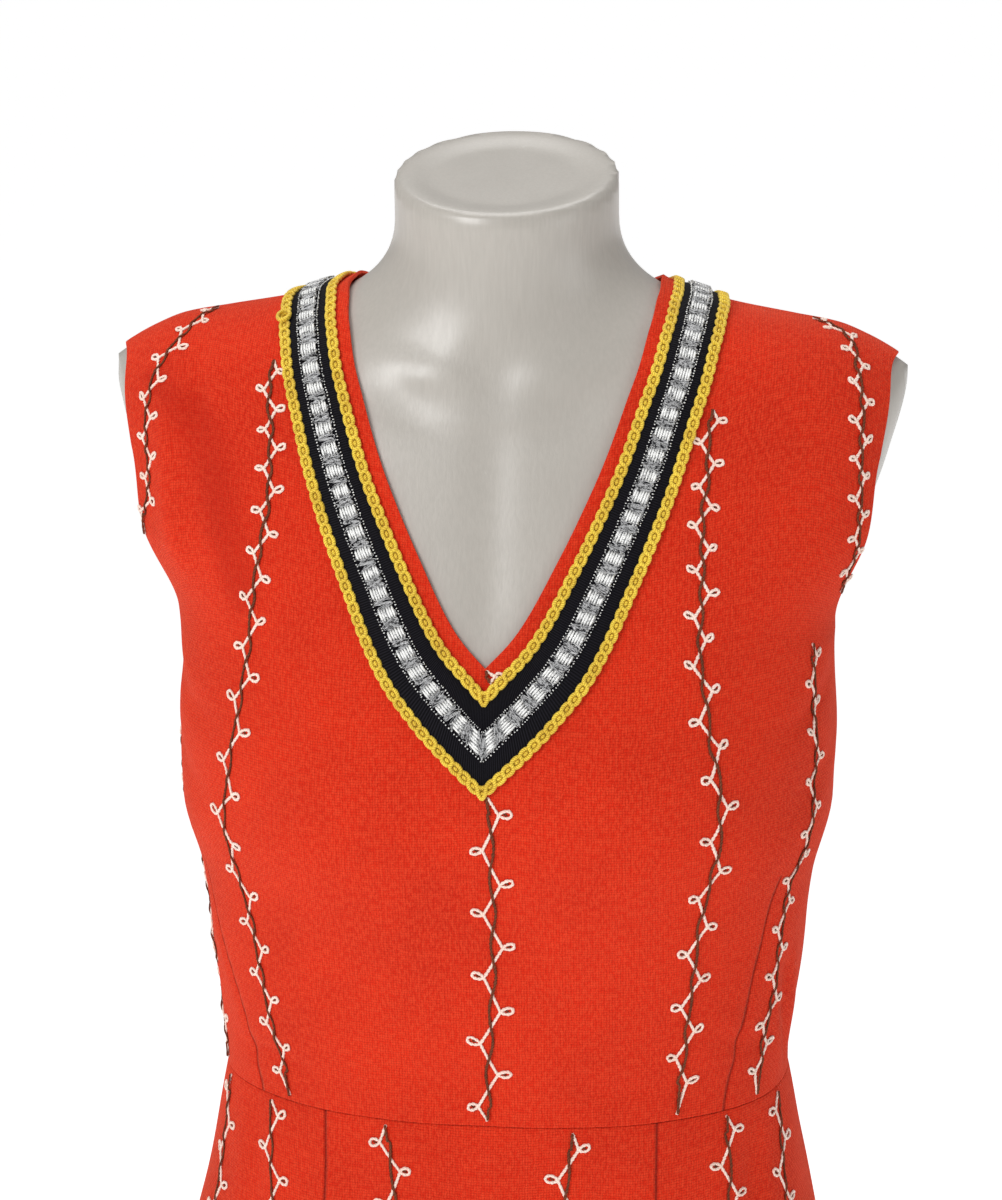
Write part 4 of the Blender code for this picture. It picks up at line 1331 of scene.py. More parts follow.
@functools.cache
def offset_line(at_v: float, at_back: float, steps: int = 5, widening: float = 2.6) -> Array:
    """Line on the bodice at a distance from the neckline, mitred at the V.

    Args:
        at_v: Distance at the V.
        at_back: Distance at the middle of the back.
        steps: How many moves are made outwards.
        widening: How suddenly the distance grows towards the V.

    Returns:
        (angle, level) rows from the V to the middle of the back.
    """
    angle = np.linspace(-math.radians(PAST_V), BACK, 300)
    level = leg_level(angle)
    start = bodice_shape(angle, level)
    length = lengths_along(start)
    past_v = length - np.interp(0.0, angle, length)
    share = np.clip(past_v / past_v[-1], 0.0, 1.0)
    distance = at_back + (at_v - at_back) * (1 - share) ** widening
    across = None
    for _ in range(steps):
        normal = normals_of(bodice_shape, angle, level)
        if across is None:
            across = np.cross(unit(np.gradient(start, axis=0)), normal)
        across = unit(across - np.sum(across * normal, axis=1, keepdims=True) * normal)
        moved = bodice_shape(angle, level) + across * (distance / steps)[:, None]
        angle, level = FIGURE.locate(moved)
        angle = np.where(angle < -SIDE, angle + 2 * math.pi, angle)
    first = np.flatnonzero(angle < 0)[-1]
    cut = angle[first] / (angle[first] - angle[first + 1])
    v_level = level[first] + cut * (level[first + 1] - level[first])
    line = np.stack([angle[first + 1 :], level[first + 1 :]], axis=1)
    line = np.concatenate([[[0.0, v_level]], line])
    line[-1, 0] = BACK
    return line


class Band:
    """A strip of the bodice that follows the neckline: s along half of it, t across it."""

    LINES = 3
    STATIONS = 700
    FINE = 2400
    MITRE = 2.3

    def __init__(self, face: ClothFace, inner: Pair, outer: Pair) -> None:
        """Lays out the strip.

        Args:
            face: The bodice's face.
            inner: Distances of its inner edge from the neckline, at the V and at the back.
            outer: The same for its outer edge.
        """
        self.face = face
        self.width = outer[0] - inner[0]
        middle = self.line(0.5 * (inner[0] + outer[0]), 0.5 * (inner[1] + outer[1]), self.STATIONS)
        middle_points = bodice_shape(middle[:, 0], middle[:, 1])
        along = lengths_along(middle_points)
        self.length = float(along[-1])
        table = [middle]
        for at_v, at_back in (inner, outer):
            line = self.line(at_v, at_back, self.FINE)
            points = bodice_shape(line[:, 0], line[:, 1])
            length = lengths_along(points)
            gaps = np.linalg.norm(middle_points[:, None, :] - points[None, :, :], axis=2)
            square = length[np.argmin(gaps, axis=1)]
            mitred = along * length[-1] / along[-1]
            turned = smooth_step(along, 0.0, self.MITRE * self.width)
            place = np.maximum.accumulate(mitred * (1 - turned) + square * turned)
            place *= length[-1] / place[-1]
            table.append(between(place, length, line))
        self.table = np.array([table[1], table[0], table[2]])

    def line(self, at_v: float, at_back: float, count: int) -> Array:
        """Evenly spaced (angle, level) rows at a distance from the neckline."""
        line = offset_line(at_v, at_back)
        length = lengths_along(bodice_shape(line[:, 0], line[:, 1]))
        return between(np.linspace(0.0, length[-1], count), length, line)

    def lift(self, s: Array, t: Array | float, height: Array | float, side: float) -> tuple[Array, Array]:
        """Points and normals over the strip.

        Args:
            s: Shares along half of the neckline, 0 at the V.
            t: Shares across the strip, 0 at the inner edge.
            height: Heights over the cloth.
            side: 1 for the wearer's left half, -1 for the right half.

        Returns:
            Points and outward normals.
        """
        s, t = np.broadcast_arrays(np.asarray(s, float), np.asarray(t, float))
        x = np.clip(s, 0.0, 1.0) * (self.STATIONS - 1)
        y = np.clip(t, -0.2, 1.2) * (self.LINES - 1)
        i = np.clip(x.astype(int), 0, self.STATIONS - 2)
        j = np.clip(np.floor(y).astype(int), 0, self.LINES - 2)
        u, v = (x - i)[..., None], (y - j)[..., None]
        low = self.table[j, i] * (1 - u) + self.table[j, i + 1] * u
        high = self.table[j + 1, i] * (1 - u) + self.table[j + 1, i + 1] * u
        place = low * (1 - v) + high * v
        points, normals = self.face.read(side * place[..., 0], place[..., 1])
        return points + normals * np.asarray(height)[..., None], normals


@dataclass(frozen=True)
class NeckTrim:
    """Ribbon and braids round the neck."""

    face: ClothFace
    inner: Pair = (0.0103, 0.0082)
    outer: Pair = (0.0426, 0.0307)
    yellow_width: float = 0.0060
    yellow_pitch: float = 0.0058
    cord_radius: float = 0.00104
    cord_lap: float = 0.00045
    cord_stations: int = 26
    button_length: float = 0.00150
    button_width: float = 0.00100
    button_height: float = 0.00092
    core_half: Pair = (0.0009, 0.0004)
    core_stations: int = 180
    bump_fullness: float = 0.066
    silver_width: float = 0.0108
    silver_pitch: float = 0.0105
    net_threads: int = 6
    net_half: Pair = (0.00028, 0.00024)
    net_stations: int = 23
    over_threads: int = 2
    over_half: Pair = (0.00020, 0.00018)
    bead_pitch: float = 0.00150
    bead_radius: float = 0.00050
    strips: int = 6
    strip_spacing: float = 0.12
    strip_half: Pair = (0.00064, 0.00034)
    strip_stations: int = 9
    knob_half: Pair = (0.00095, 0.0009)
    knob_stations: int = 64
    knob_share: float = 0.575
    knob_radius: float = 0.0034
    ribbon_stations: tuple[int, int] = (480, 10)
    ribbon_top: float = 0.00155
    ribbon_drop: float = 0.00035
    ribbon_wall: float = 0.0009
    ribbon_lap: float = 0.0006
    lay: float = 0.00055
    silver_seed: int = 41

    def band(self, middle_v: float, middle_back: float, width: float) -> Band:
        """A strip of a width round a middle line."""
        half = 0.5 * width
        return Band(self.face, (middle_v - half, middle_back - half), (middle_v + half, middle_back + half))

    def ribbon(self, finishes: Finishes) -> None:
        """The black ribbon, a grid laid along both halves of the neckline."""
        edge = 0.5 * self.yellow_width - self.ribbon_lap
        inner = (self.inner[0] + edge, self.inner[1] + edge)
        outer = (self.outer[0] - edge, self.outer[1] - edge)
        band = Band(self.face, inner, outer)
        stations, across = self.ribbon_stations
        deselect_all()
        bpy.ops.mesh.primitive_grid_add(x_subdivisions=2 * stations, y_subdivisions=across, size=1.0)
        piece = active_piece("ribbon_black_weave")
        flat = coordinates(piece.data)
        s = 2 * flat[:, 0]
        t = flat[:, 1] + 0.5
        height = self.ribbon_top - self.ribbon_drop * smooth_step(np.abs(2 * t - 1), 0.8, 1.0)
        left, _ = band.lift(np.abs(s), t, height, 1.0)
        right, _ = band.lift(np.abs(s), t, height, -1.0)
        set_coordinates(piece.data, np.where((s >= 0)[:, None], left, right))
        set_uv(piece.data, np.stack([s * band.length, t * band.width], -1))
        face_outwards(piece)
        apply_modifier(piece, "SOLIDIFY", thickness=self.ribbon_wall, offset=-1.0, use_rim=True)
        smooth(piece, 50.0)
        finish_piece(piece, finishes.ribbon, ["ribbon_black"])

    def scroll(self, band: Band, side: float, phase: float) -> Strand:
        """One cord of the gimp, which runs in curls along half of the neckline.

        Args:
            band: The strip that the braid fills.
            side: Which half of the neckline.
            phase: Turn of the curls, which sets the two cords apart.

        Returns:
            The cord.
        """
        waves = round(0.5 * band.length / self.yellow_pitch)
        turn = np.linspace(0.0, 2 * math.pi * waves, self.cord_stations * waves + 1)
        swing = 0.5 - self.cord_radius / band.width
        s = (turn / (2 * math.pi) + self.bump_fullness * np.sin(2 * turn)) / waves
        t = 0.5 + swing * np.cos(turn + phase)
        height = self.lay + self.cord_radius + 0.0001 + self.cord_lap * np.sin(turn + phase)
        points, normals = band.lift(s, t, height, side)
        return even_strand(points, normals, (self.cord_radius, self.cord_radius))

    def buttons(self, band: Band, side: float) -> list[Strand]:
        """The small knots in the eyes between the two cords."""
        eyes = 2 * round(0.5 * band.length / self.yellow_pitch)
        share = np.linspace(-1.0, 1.0, 7)
        dome = np.sqrt(np.maximum(1.0 - 0.92 * share**2, 0.0))
        made = []
        for eye in range(eyes + 1):
            s = eye / eyes + self.button_length * share / band.length
            points, normals = band.lift(s, 0.5, self.lay + self.cord_radius, side)
            made.append(Strand(points, normals, self.button_width * dome, self.button_height * dome))
        return made

    def yellow(self, place: str, middle: Pair, finishes: Finishes) -> None:
        """One yellow gimp braid: two fat cords that cross over each other, on a flat core."""
        band = self.band(*middle, self.yellow_width)
        strands = []
        for side in (1.0, -1.0):
            strands += [self.scroll(band, side, 0.0), self.scroll(band, side, math.pi)]
            strands += self.buttons(band, side)[1 if side < 0 else 0 : -1]
            s = np.linspace(0.0, 1.0, self.core_stations)
            for t in (0.30, 0.50, 0.70):
                strands.append(even_strand(*band.lift(s, t, self.lay + 0.0003, side), self.core_half))
        piece = swept(f"yellow_braid_{place}", strands)
        finish_piece(piece, finishes.yellow, [f"braid_yellow_{place}"])

    @property
    def silver_floor(self) -> float:
        """Height of the silver braid's underside over the cloth."""
        return self.ribbon_top + 0.00035

    def repeats(self, band: Band) -> int:
        """How many repeats of the silver braid fill half of the neckline."""
        return round(band.length / self.silver_pitch)

    def net(self, band: Band, side: float, rng: Draws) -> list[Strand]:
        """The silver braid's net of wandering metal threads, along half of the neckline."""
        floor = self.silver_floor
        pitches = self.repeats(band)
        s = np.linspace(0.0, 1.0, self.net_stations * pitches)
        run = s * pitches * 2 * math.pi
        made = []
        for k in range(self.net_threads):
            rate = (2.0, 3.0, 2.5, 3.5)[k % 4]
            phase = rng.uniform(0, 2 * math.pi)
            sway = 0.34 + 0.08 * rng.uniform(-1, 1)
            t = 0.5 + sway * np.sin(rate * run + phase) + 0.05 * np.sin(5.3 * run + 2.0 * phase)
            height = floor + 0.0003 + 0.0003 * np.sin(4.1 * run + phase)
            made.append(even_strand(*band.lift(s, t, height, side), self.net_half))
        for k in range(self.over_threads):
            phase = rng.uniform(0, 2 * math.pi)
            t = 0.5 + 0.42 * np.sin((1.5 + k) * run + phase) + 0.04 * np.sin(6.1 * run + phase)
            made.append(even_strand(*band.lift(s, t, floor + 0.0016, side), self.over_half))
        return made

    def beads(self, band: Band, side: float, rng: Draws) -> list[Strand]:
        """The small beads along both edges of the silver braid."""
        beads = round(band.length / self.bead_pitch)
        ends = np.array([-1.0, 0.0, 1.0])
        made = []
        for edge in (0.02, 0.98):
            for bead in range(beads):
                at = (bead + 0.5 + 0.2 * rng.uniform(-1, 1) + 0.18 * ends) / beads
                offset = edge + 0.02 * rng.uniform(-1, 1)
                points, normals = band.lift(at, offset, self.silver_floor + 0.0004, side)
                size = self.bead_radius * rng.uniform(0.7, 1.15) * (1.0 - 0.4 * np.abs(ends))
                made.append(Strand(points, normals, size, 0.8 * size))
        return made

    def blocks(self, band: Band, side: float, rng: Draws) -> list[Strand]:
        """The blocks of strips that lie over the net, one block at each repeat."""
        pitches = self.repeats(band)
        dome = np.sin(math.pi * np.linspace(0.0, 1.0, self.strip_stations))
        half_width, half_height = self.strip_half
        made = []
        for block in range(pitches):
            for lane in range(self.strips):
                t = 0.20 + self.strip_spacing * lane + 0.012 * rng.uniform(-1, 1)
                ends = (0.22 + 0.06 * rng.uniform(-1, 1), 0.78 + 0.06 * rng.uniform(-1, 1))
                share = np.linspace(*ends, self.strip_stations)
                height = self.silver_floor + 0.0005 + (0.0011 + 0.0002 * rng.uniform(-1, 1)) * dome**0.5
                points, normals = band.lift((block + share) / pitches, t, height, side)
                widths = half_width * (0.55 + 0.45 * dome)
                made.append(Strand(points, normals, widths, np.full(len(share), half_height)))
        return made

    def silver(self, finishes: Finishes) -> None:
        """The silver braid: a net of metal threads with beaded edges, and strips in blocks over it."""
        middle = (0.5 * (self.inner[0] + self.outer[0]), 0.5 * (self.inner[1] + self.outer[1]))
        band = self.band(*middle, self.silver_width)
        rng = np.random.default_rng(self.silver_seed)
        net, bars = [], []
        for side in (1.0, -1.0):
            net += self.net(band, side, rng)
            bars += self.beads(band, side, rng)
            bars += self.blocks(band, side, rng)
        piece = swept("silver_braid_net", net, sides=3)
        finish_piece(piece, finishes.silver, ["braid_silver"])
        finish_piece(swept("silver_braid_strips", bars, sides=5), finishes.silver_blocks)

    def folded_end(self, finishes: Finishes) -> None:
        """The outer braid's end, turned under in a small knob at the wearer's right shoulder."""
        band = self.band(*self.outer, self.yellow_width)
        length = lengths_along(band.lift(np.linspace(0, 1, 400), 0.5, 0.0, -1.0)[0])
        turn = np.linspace(0.0, 2 * math.pi * 3.0, self.knob_stations)
        s = self.knob_share + self.knob_radius * np.cos(turn) / length[-1]
        t = 0.5 + 0.52 * np.sin(turn)
        height = self.lay + 0.0024 + 0.0011 * turn / turn[-1]
        knob = even_strand(*band.lift(s, t, height, -1.0), self.knob_half)
        finish_piece(swept("yellow_braid_folded_end", [knob]), finishes.yellow)

    def build(self, finishes: Finishes) -> None:
        """Builds the whole trim."""
        self.ribbon(finishes)
        self.yellow("inner", self.inner, finishes)
        self.yellow("outer", self.outer, finishes)
        self.silver(finishes)
        self.folded_end(finishes)


# Embroidery


class Vine(NamedTuple):
    """A column of looped vine stitches along (degrees, level) points.

    The spacings of its turns are given at even shares along it, and first_side is 1 or -1.
    """

    name: str
    first_side: float
    spacings: tuple[float, ...]
    line: Line


BODICE_VINES = (
    Vine("throat", 1.0, (0.0060,), ((0.3, 1.2372), (1.2, 1.2310))),
    Vine("middle", 1.0, (0.0179,), (
        (1.2, 1.1785), (1.9, 1.1640), (2.0, 1.1423), (2.2, 1.1238), (2.0, 1.0874), (1.2, 1.0534),
        (0.4, 1.0300), (0.0, 1.0030),
    )),
    Vine("right_main", 1.0, (0.0102, 0.0100, 0.0122, 0.0164, 0.0146, 0.0136, 0.0134), (
        (-64.5, 1.3660), (-60.5, 1.3530), (-57.0, 1.3400), (-54.6, 1.3254), (-52.6, 1.2930),
        (-53.0, 1.2577), (-52.9, 1.2188), (-53.8, 1.1816), (-57.2, 1.1499), (-57.2, 1.1287),
        (-56.3, 1.1000), (-55.6, 1.0614), (-54.6, 1.0328), (-52.4, 1.0030),
    )),
    Vine("left_main", 1.0, (0.0108, 0.0100, 0.0124, 0.0164, 0.0156, 0.0144, 0.0142), (
        (58.2, 1.3515), (54.8, 1.3381), (52.2, 1.3198), (49.9, 1.3000), (48.2, 1.2729), (46.8, 1.2525),
        (45.9, 1.2273), (45.7, 1.2049), (46.3, 1.1876), (47.4, 1.1525), (47.2, 1.1302), (47.2, 1.1031),
        (47.7, 1.0816), (47.8, 1.0603), (48.1, 1.0369), (47.6, 1.0030),
    )),
    Vine("right_armhole", -1.0, (0.0100,), (
        (-87.5, 1.3715), (-82.3, 1.3660), (-79.6, 1.3605), (-78.0, 1.3530), (-76.6, 1.3430),
        (-75.4, 1.3330), (-74.4, 1.3210), (-74.2, 1.3080), (-75.6, 1.2950), (-76.9, 1.2850),
    )),
    Vine("right_side", 1.0, (0.0130,), (
        (-90.0, 1.2340), (-89.0, 1.2200), (-87.5, 1.1947), (-85.0, 1.1400), (-81.0, 1.0733),
        (-77.5, 1.0030),
    )),
    Vine("left_armhole", 1.0, (0.0094,), (
        (88.5, 1.3700), (85.0, 1.3640), (82.0, 1.3585), (79.5, 1.3530), (77.4, 1.3450), (76.0, 1.3360),
        (75.2, 1.3250), (74.9, 1.3130), (74.6, 1.3000), (75.0, 1.2880), (76.4, 1.2700), (77.6, 1.2620),
    )),
    Vine("left_side", 1.0, (0.0130,), (
        (70.9, 1.2400), (71.6, 1.2070), (71.4, 1.1785), (70.9, 1.1507), (69.4, 1.1171), (69.1, 1.0989),
        (69.2, 1.0690), (68.4, 1.0373), (67.8, 1.0030),
    )),
)

# Where the skirt's columns begin and end, and the spacing of their turns
SKIRT_VINE_TOP = 0.9975
SKIRT_VINE_FOOT = 0.4500
SKIRT_VINE_SPACING = 0.0165


def skirt_vine(name: str, first_side: float, top: float, shown: Line, foot: float) -> Vine:
    """A column of the skirt, from its top degrees through two points that show to its foot degrees."""
    line = ((top, SKIRT_VINE_TOP), *shown, (foot, SKIRT_VINE_FOOT))
    return Vine(name, first_side, (SKIRT_VINE_SPACING,), line)


SKIRT_VINES = (
    skirt_vine("skirt_far_right", -1.0, -73.6, ((-72.6, 0.9730), (-71.0, 0.9316)), -66.0),
    skirt_vine("skirt_right", 1.0, -57.6, ((-55.6, 0.9700), (-53.7, 0.9476)), -49.0),
    skirt_vine("skirt_middle_right", -1.0, -27.7, ((-26.0, 0.9800), (-24.5, 0.9621)), -20.0),
    skirt_vine("skirt_middle_left", 1.0, 22.9, ((21.8, 0.9820), (20.8, 0.9663)), 17.0),
    skirt_vine("skirt_left", 1.0, 59.2, ((58.6, 0.9760), (57.8, 0.9552)), 50.0),
    skirt_vine("skirt_far_left", -1.0, 76.0, ((74.2, 0.9700), (72.5, 0.9446)), 67.0),
)


@dataclass(frozen=True)
class VineStitch:
    """The looped vine: a cream chain-stitched zigzag with a loop at each turn, and a brown stem."""

    face: ClothFace
    full_spacing: float = 0.0145
    smallest: float = 0.74
    swing: float = 0.0041
    loop_length: float = 0.0027
    loop_width: float = 0.0020
    cream_half: float = 0.00086
    brown_half: float = 0.00084
    stem_swing: float = 0.0011
    link: float = 0.0023
    stem_link: float = 0.0031
    pull: float = 0.16
    cream_step: float = 0.00076
    cream_height: float = 0.00042
    brown_step: float = 0.0010
    brown_height: float = 0.00035
    crossing_height: float = 0.0009

    def frame(self, vine: Vine, at: Array) -> tuple[Array, Array, float]:
        """Points and sideways directions of a vine's middle line at distances along it, and its length."""
        degrees, levels = zip(*vine.line)
        fine = np.linspace(0.0, len(vine.line) - 1, 600)
        angle = np.radians(monotone(fine, list(enumerate(degrees))))
        level = monotone(fine, list(enumerate(levels)))
        points, normals = self.face.read(angle, level)
        length = lengths_along(points)
        place = between(at, length, points)
        tangent = unit(np.gradient(points, axis=0))
        side = unit(np.cross(normals, tangent))
        across = unit(between(at, length, side))
        return place, across, float(length[-1])

    def lay(self, vine: Vine, along: Array, sideways: Array, height: Array | float) -> tuple[Array, Array]:
        """Points and normals on the cloth at distances along and beside a vine's middle line."""
        place, across, _ = self.frame(vine, along)
        points, normals = self.face.read(*self.face.locate(place + across * sideways[:, None]))
        return points + normals * np.asarray(height)[..., None], normals

    def corners(self, vine: Vine) -> tuple[list[Pair], float]:
        """Distance along the column and spacing of each turn of the cream thread, and the column's length."""
        total = self.frame(vine, np.zeros(1))[2]
        shares = np.linspace(0.0, 1.0, len(vine.spacings))
        found = []
        at = 0.5 * vine.spacings[0]
        while at < total - 0.3 * vine.spacings[-1]:
            spacing = float(np.interp(at / total, shares, vine.spacings))
            found.append((at, spacing))
            at += spacing
        return found, total

    def cream(self, vine: Vine, rng: Draws) -> tuple[Strand, list[Pair]]:
        """The cream thread, and the middles of its loops as (along, sideways)."""
        corners, total = self.corners(vine)
        pulls = 8 * (self.pull,) + (1.0,)
        along: list[float] = [0.0]
        sideways: list[float] = [0.0]
        hearts = []
        sign = vine.first_side
        for even, spacing in corners:
            corner = even + 0.0007 * rng.uniform(-1, 1)
            scale = min(max(spacing / self.full_spacing, self.smallest), 1.05)
            swing = self.swing * scale * (1 + 0.12 * rng.uniform(-1, 1))
            size = scale * (1 + 0.20 * rng.uniform(-1, 1))
            long = self.loop_length * size
            wide = self.loop_width * scale * (1 + 0.12 * rng.uniform(-1, 1))
            tilt = 0.0010 * rng.uniform(-0.4, 1.0)
            for pull in pulls:
                along.append(along[-1] + (corner - along[-1]) * pull)
                sideways.append(sideways[-1] + (sign * swing - sideways[-1]) * pull)
            heart = swing + long * 1.02
            for turn in np.linspace(0.0, 2 * math.pi, 15)[1:-1]:
                out = heart - long * math.cos(turn)
                swell = wide * math.sin(turn) * math.sin(0.5 * turn) ** 0.6
                along.append(corner + swell - tilt * (1 - math.cos(turn)))
                sideways.append(sign * out)
            along.append(corner + 0.0004)
            sideways.append(sign * swing)
            hearts.append((corner - tilt, sign * heart))
            sign = -sign
        along.append(max(total, along[-1] + 0.001))
        sideways.append(0.0)
        path = np.stack([along, sideways], -1)
        length = lengths_along(np.concatenate([path, np.zeros((len(path), 1))], 1))
        at = np.arange(0.0, length[-1], self.cream_step)
        a = np.interp(at, length, path[:, 0])
        b = np.interp(at, length, path[:, 1])
        chain = 0.66 + 0.42 * np.abs(np.sin(math.pi * at / self.link))
        points, normals = self.lay(vine, a, b, self.cream_height + 0.0001 * np.sin(at * 900.0))
        half = self.cream_half * chain * (1 + 0.12 * rng.uniform(-1, 1, len(at)))
        return Strand(points, normals, half, 0.62 * half + 0.0001), hearts

    def brown(self, vine: Vine, rng: Draws) -> Strand:
        """The brown stem, which crosses over the cream thread between its turns."""
        corners, total = self.corners(vine)
        at = np.arange(0.0, total, self.brown_step)
        turns = [place for place, _ in corners]
        phase = math.pi * np.interp(at, turns, np.arange(len(turns)), left=-0.5, right=len(turns) - 0.5)
        sideways = -vine.first_side * self.stem_swing * np.cos(phase)
        sideways = sideways + 0.0003 * np.sin(at * 170.0 + rng.uniform(0, 6))
        height = self.brown_height + self.crossing_height * np.abs(np.sin(phase)) ** 3
        points, normals = self.lay(vine, at, sideways, height)
        chain = 0.66 + 0.34 * np.abs(np.sin(math.pi * at / self.stem_link))
        chain = chain + 0.16 * rng.uniform(-1, 1, len(at))
        return Strand(points, normals, self.brown_half * chain, 0.55 * self.brown_half * chain)

    def seed(self, vine: Vine, heart: Pair) -> Strand:
        """A small brown stitch in the middle of a loop."""
        share = np.linspace(-1.0, 1.0, 5)
        along = heart[0] + 0.0004 * share
        sideways = heart[1] + 0.0010 * share
        points, normals = self.lay(vine, along, sideways, np.full(5, 0.00018))
        half = 0.00052 * np.sqrt(np.maximum(1.0 - 0.8 * share**2, 0.0))
        return Strand(points, normals, half, 0.45 * half)

    def build(self, name: str, vines: Sequence[Vine], seed: int, finishes: Finishes) -> None:
        """Builds the embroidery of one part of the dress.

        Args:
            name: First part of the pieces' names.
            vines: The columns.
            seed: Start of the random draws.
            finishes: All materials.
        """
        rng = np.random.default_rng(seed)
        cream, brown = [], []
        for vine in vines:
            thread, hearts = self.cream(vine, rng)
            LOG.info("%s: %d loops", vine.name, len(hearts))
            cream.append(thread)
            brown.append(self.brown(vine, rng))
            brown += [self.seed(vine, heart) for heart in hearts]
        finish_piece(swept(f"{name}_cream", cream, sides=5), finishes.cream)
        finish_piece(swept(f"{name}_brown", brown, sides=5), finishes.brown)


# The form and its stand


@dataclass(frozen=True)
class DressForm:
    """The limbless form, a ball whose rows are drawn out to the body."""

    segments: int = 168
    rings: int = 180
    cap_share: float = 0.16
    neck_share: float = 0.52
    base_share: float = 0.955
    rim: float = 0.0036
    dish: float = 0.0022
    throat_depth: float = 0.0030
    collar_relief: float = 0.0016

    def build(self, finishes: Finishes) -> None:
        """Builds the form."""
        deselect_all()
        bpy.ops.mesh.primitive_uv_sphere_add(segments=self.segments, ring_count=self.rings, radius=1.0)
        piece = active_piece("dress_form")
        ball = coordinates(piece.data)
        angle = np.arctan2(ball[:, 0], -ball[:, 1])
        share = np.arccos(np.clip(ball[:, 2], -1.0, 1.0)) / math.pi
        summit = FAN_Z + FIGURE.fan_reach * math.pi / 2
        marks = (0.0, self.cap_share, self.neck_share, self.base_share, 1.0)
        level = np.interp(share, marks, (summit - 1e-5, 1.425, FAN_Z, FORM_BASE_Z, FORM_BASE_Z))
        points = FIGURE.points(angle, level, 0.0, self.rim)
        base = share > self.base_share
        shrink = np.clip((1.0 - share) / (1.0 - self.base_share), 0.0, 1.0)
        points[base, :2] *= shrink[base, None]
        set_coordinates(piece.data, self.modelled(points))
        smooth(piece, 60.0)
        finish_piece(piece, finishes.plastic, ["form_torso"])

    def modelled(self, points: Array) -> Array:
        """Adds the dished cap and the general modelling of the chest in the V."""
        x, y, z = points.T
        lean = -FIGURE.neck_lean * (z - FIGURE.neck_base)
        out = np.hypot(x / FIGURE.neck_half_width, (y - lean) / FIGURE.neck_half_depth)
        on_cap = np.abs(z - NECK_CAP_Z - FIGURE.cap_slope * y) < 0.0025
        move = np.zeros_like(points)
        move[:, 2] -= np.where(on_cap, self.dish * (1 - smooth_step(out, 0.62, 0.90)), 0.0)
        front = smooth_step(-y, 0.03, 0.06)
        hollow = bell(x, 0.0, 0.016) * bell(z, 1.372, 0.018)
        sternum = bell(x, 0.0, 0.011) * smooth_step(z, 1.235, 1.275) * (1 - smooth_step(z, 1.33, 1.37))
        collar_z = 1.368 + 0.16 * np.abs(x)
        ridge = bell(z, collar_z, 0.0085) * bell(np.abs(x), 0.034, 0.020)
        under = bell(z, collar_z - 0.020, 0.012) * bell(np.abs(x), 0.040, 0.022)
        relief = self.collar_relief * (sternum - ridge + under)
        move[:, 1] += front * (self.throat_depth * hollow + relief)
        return points + move


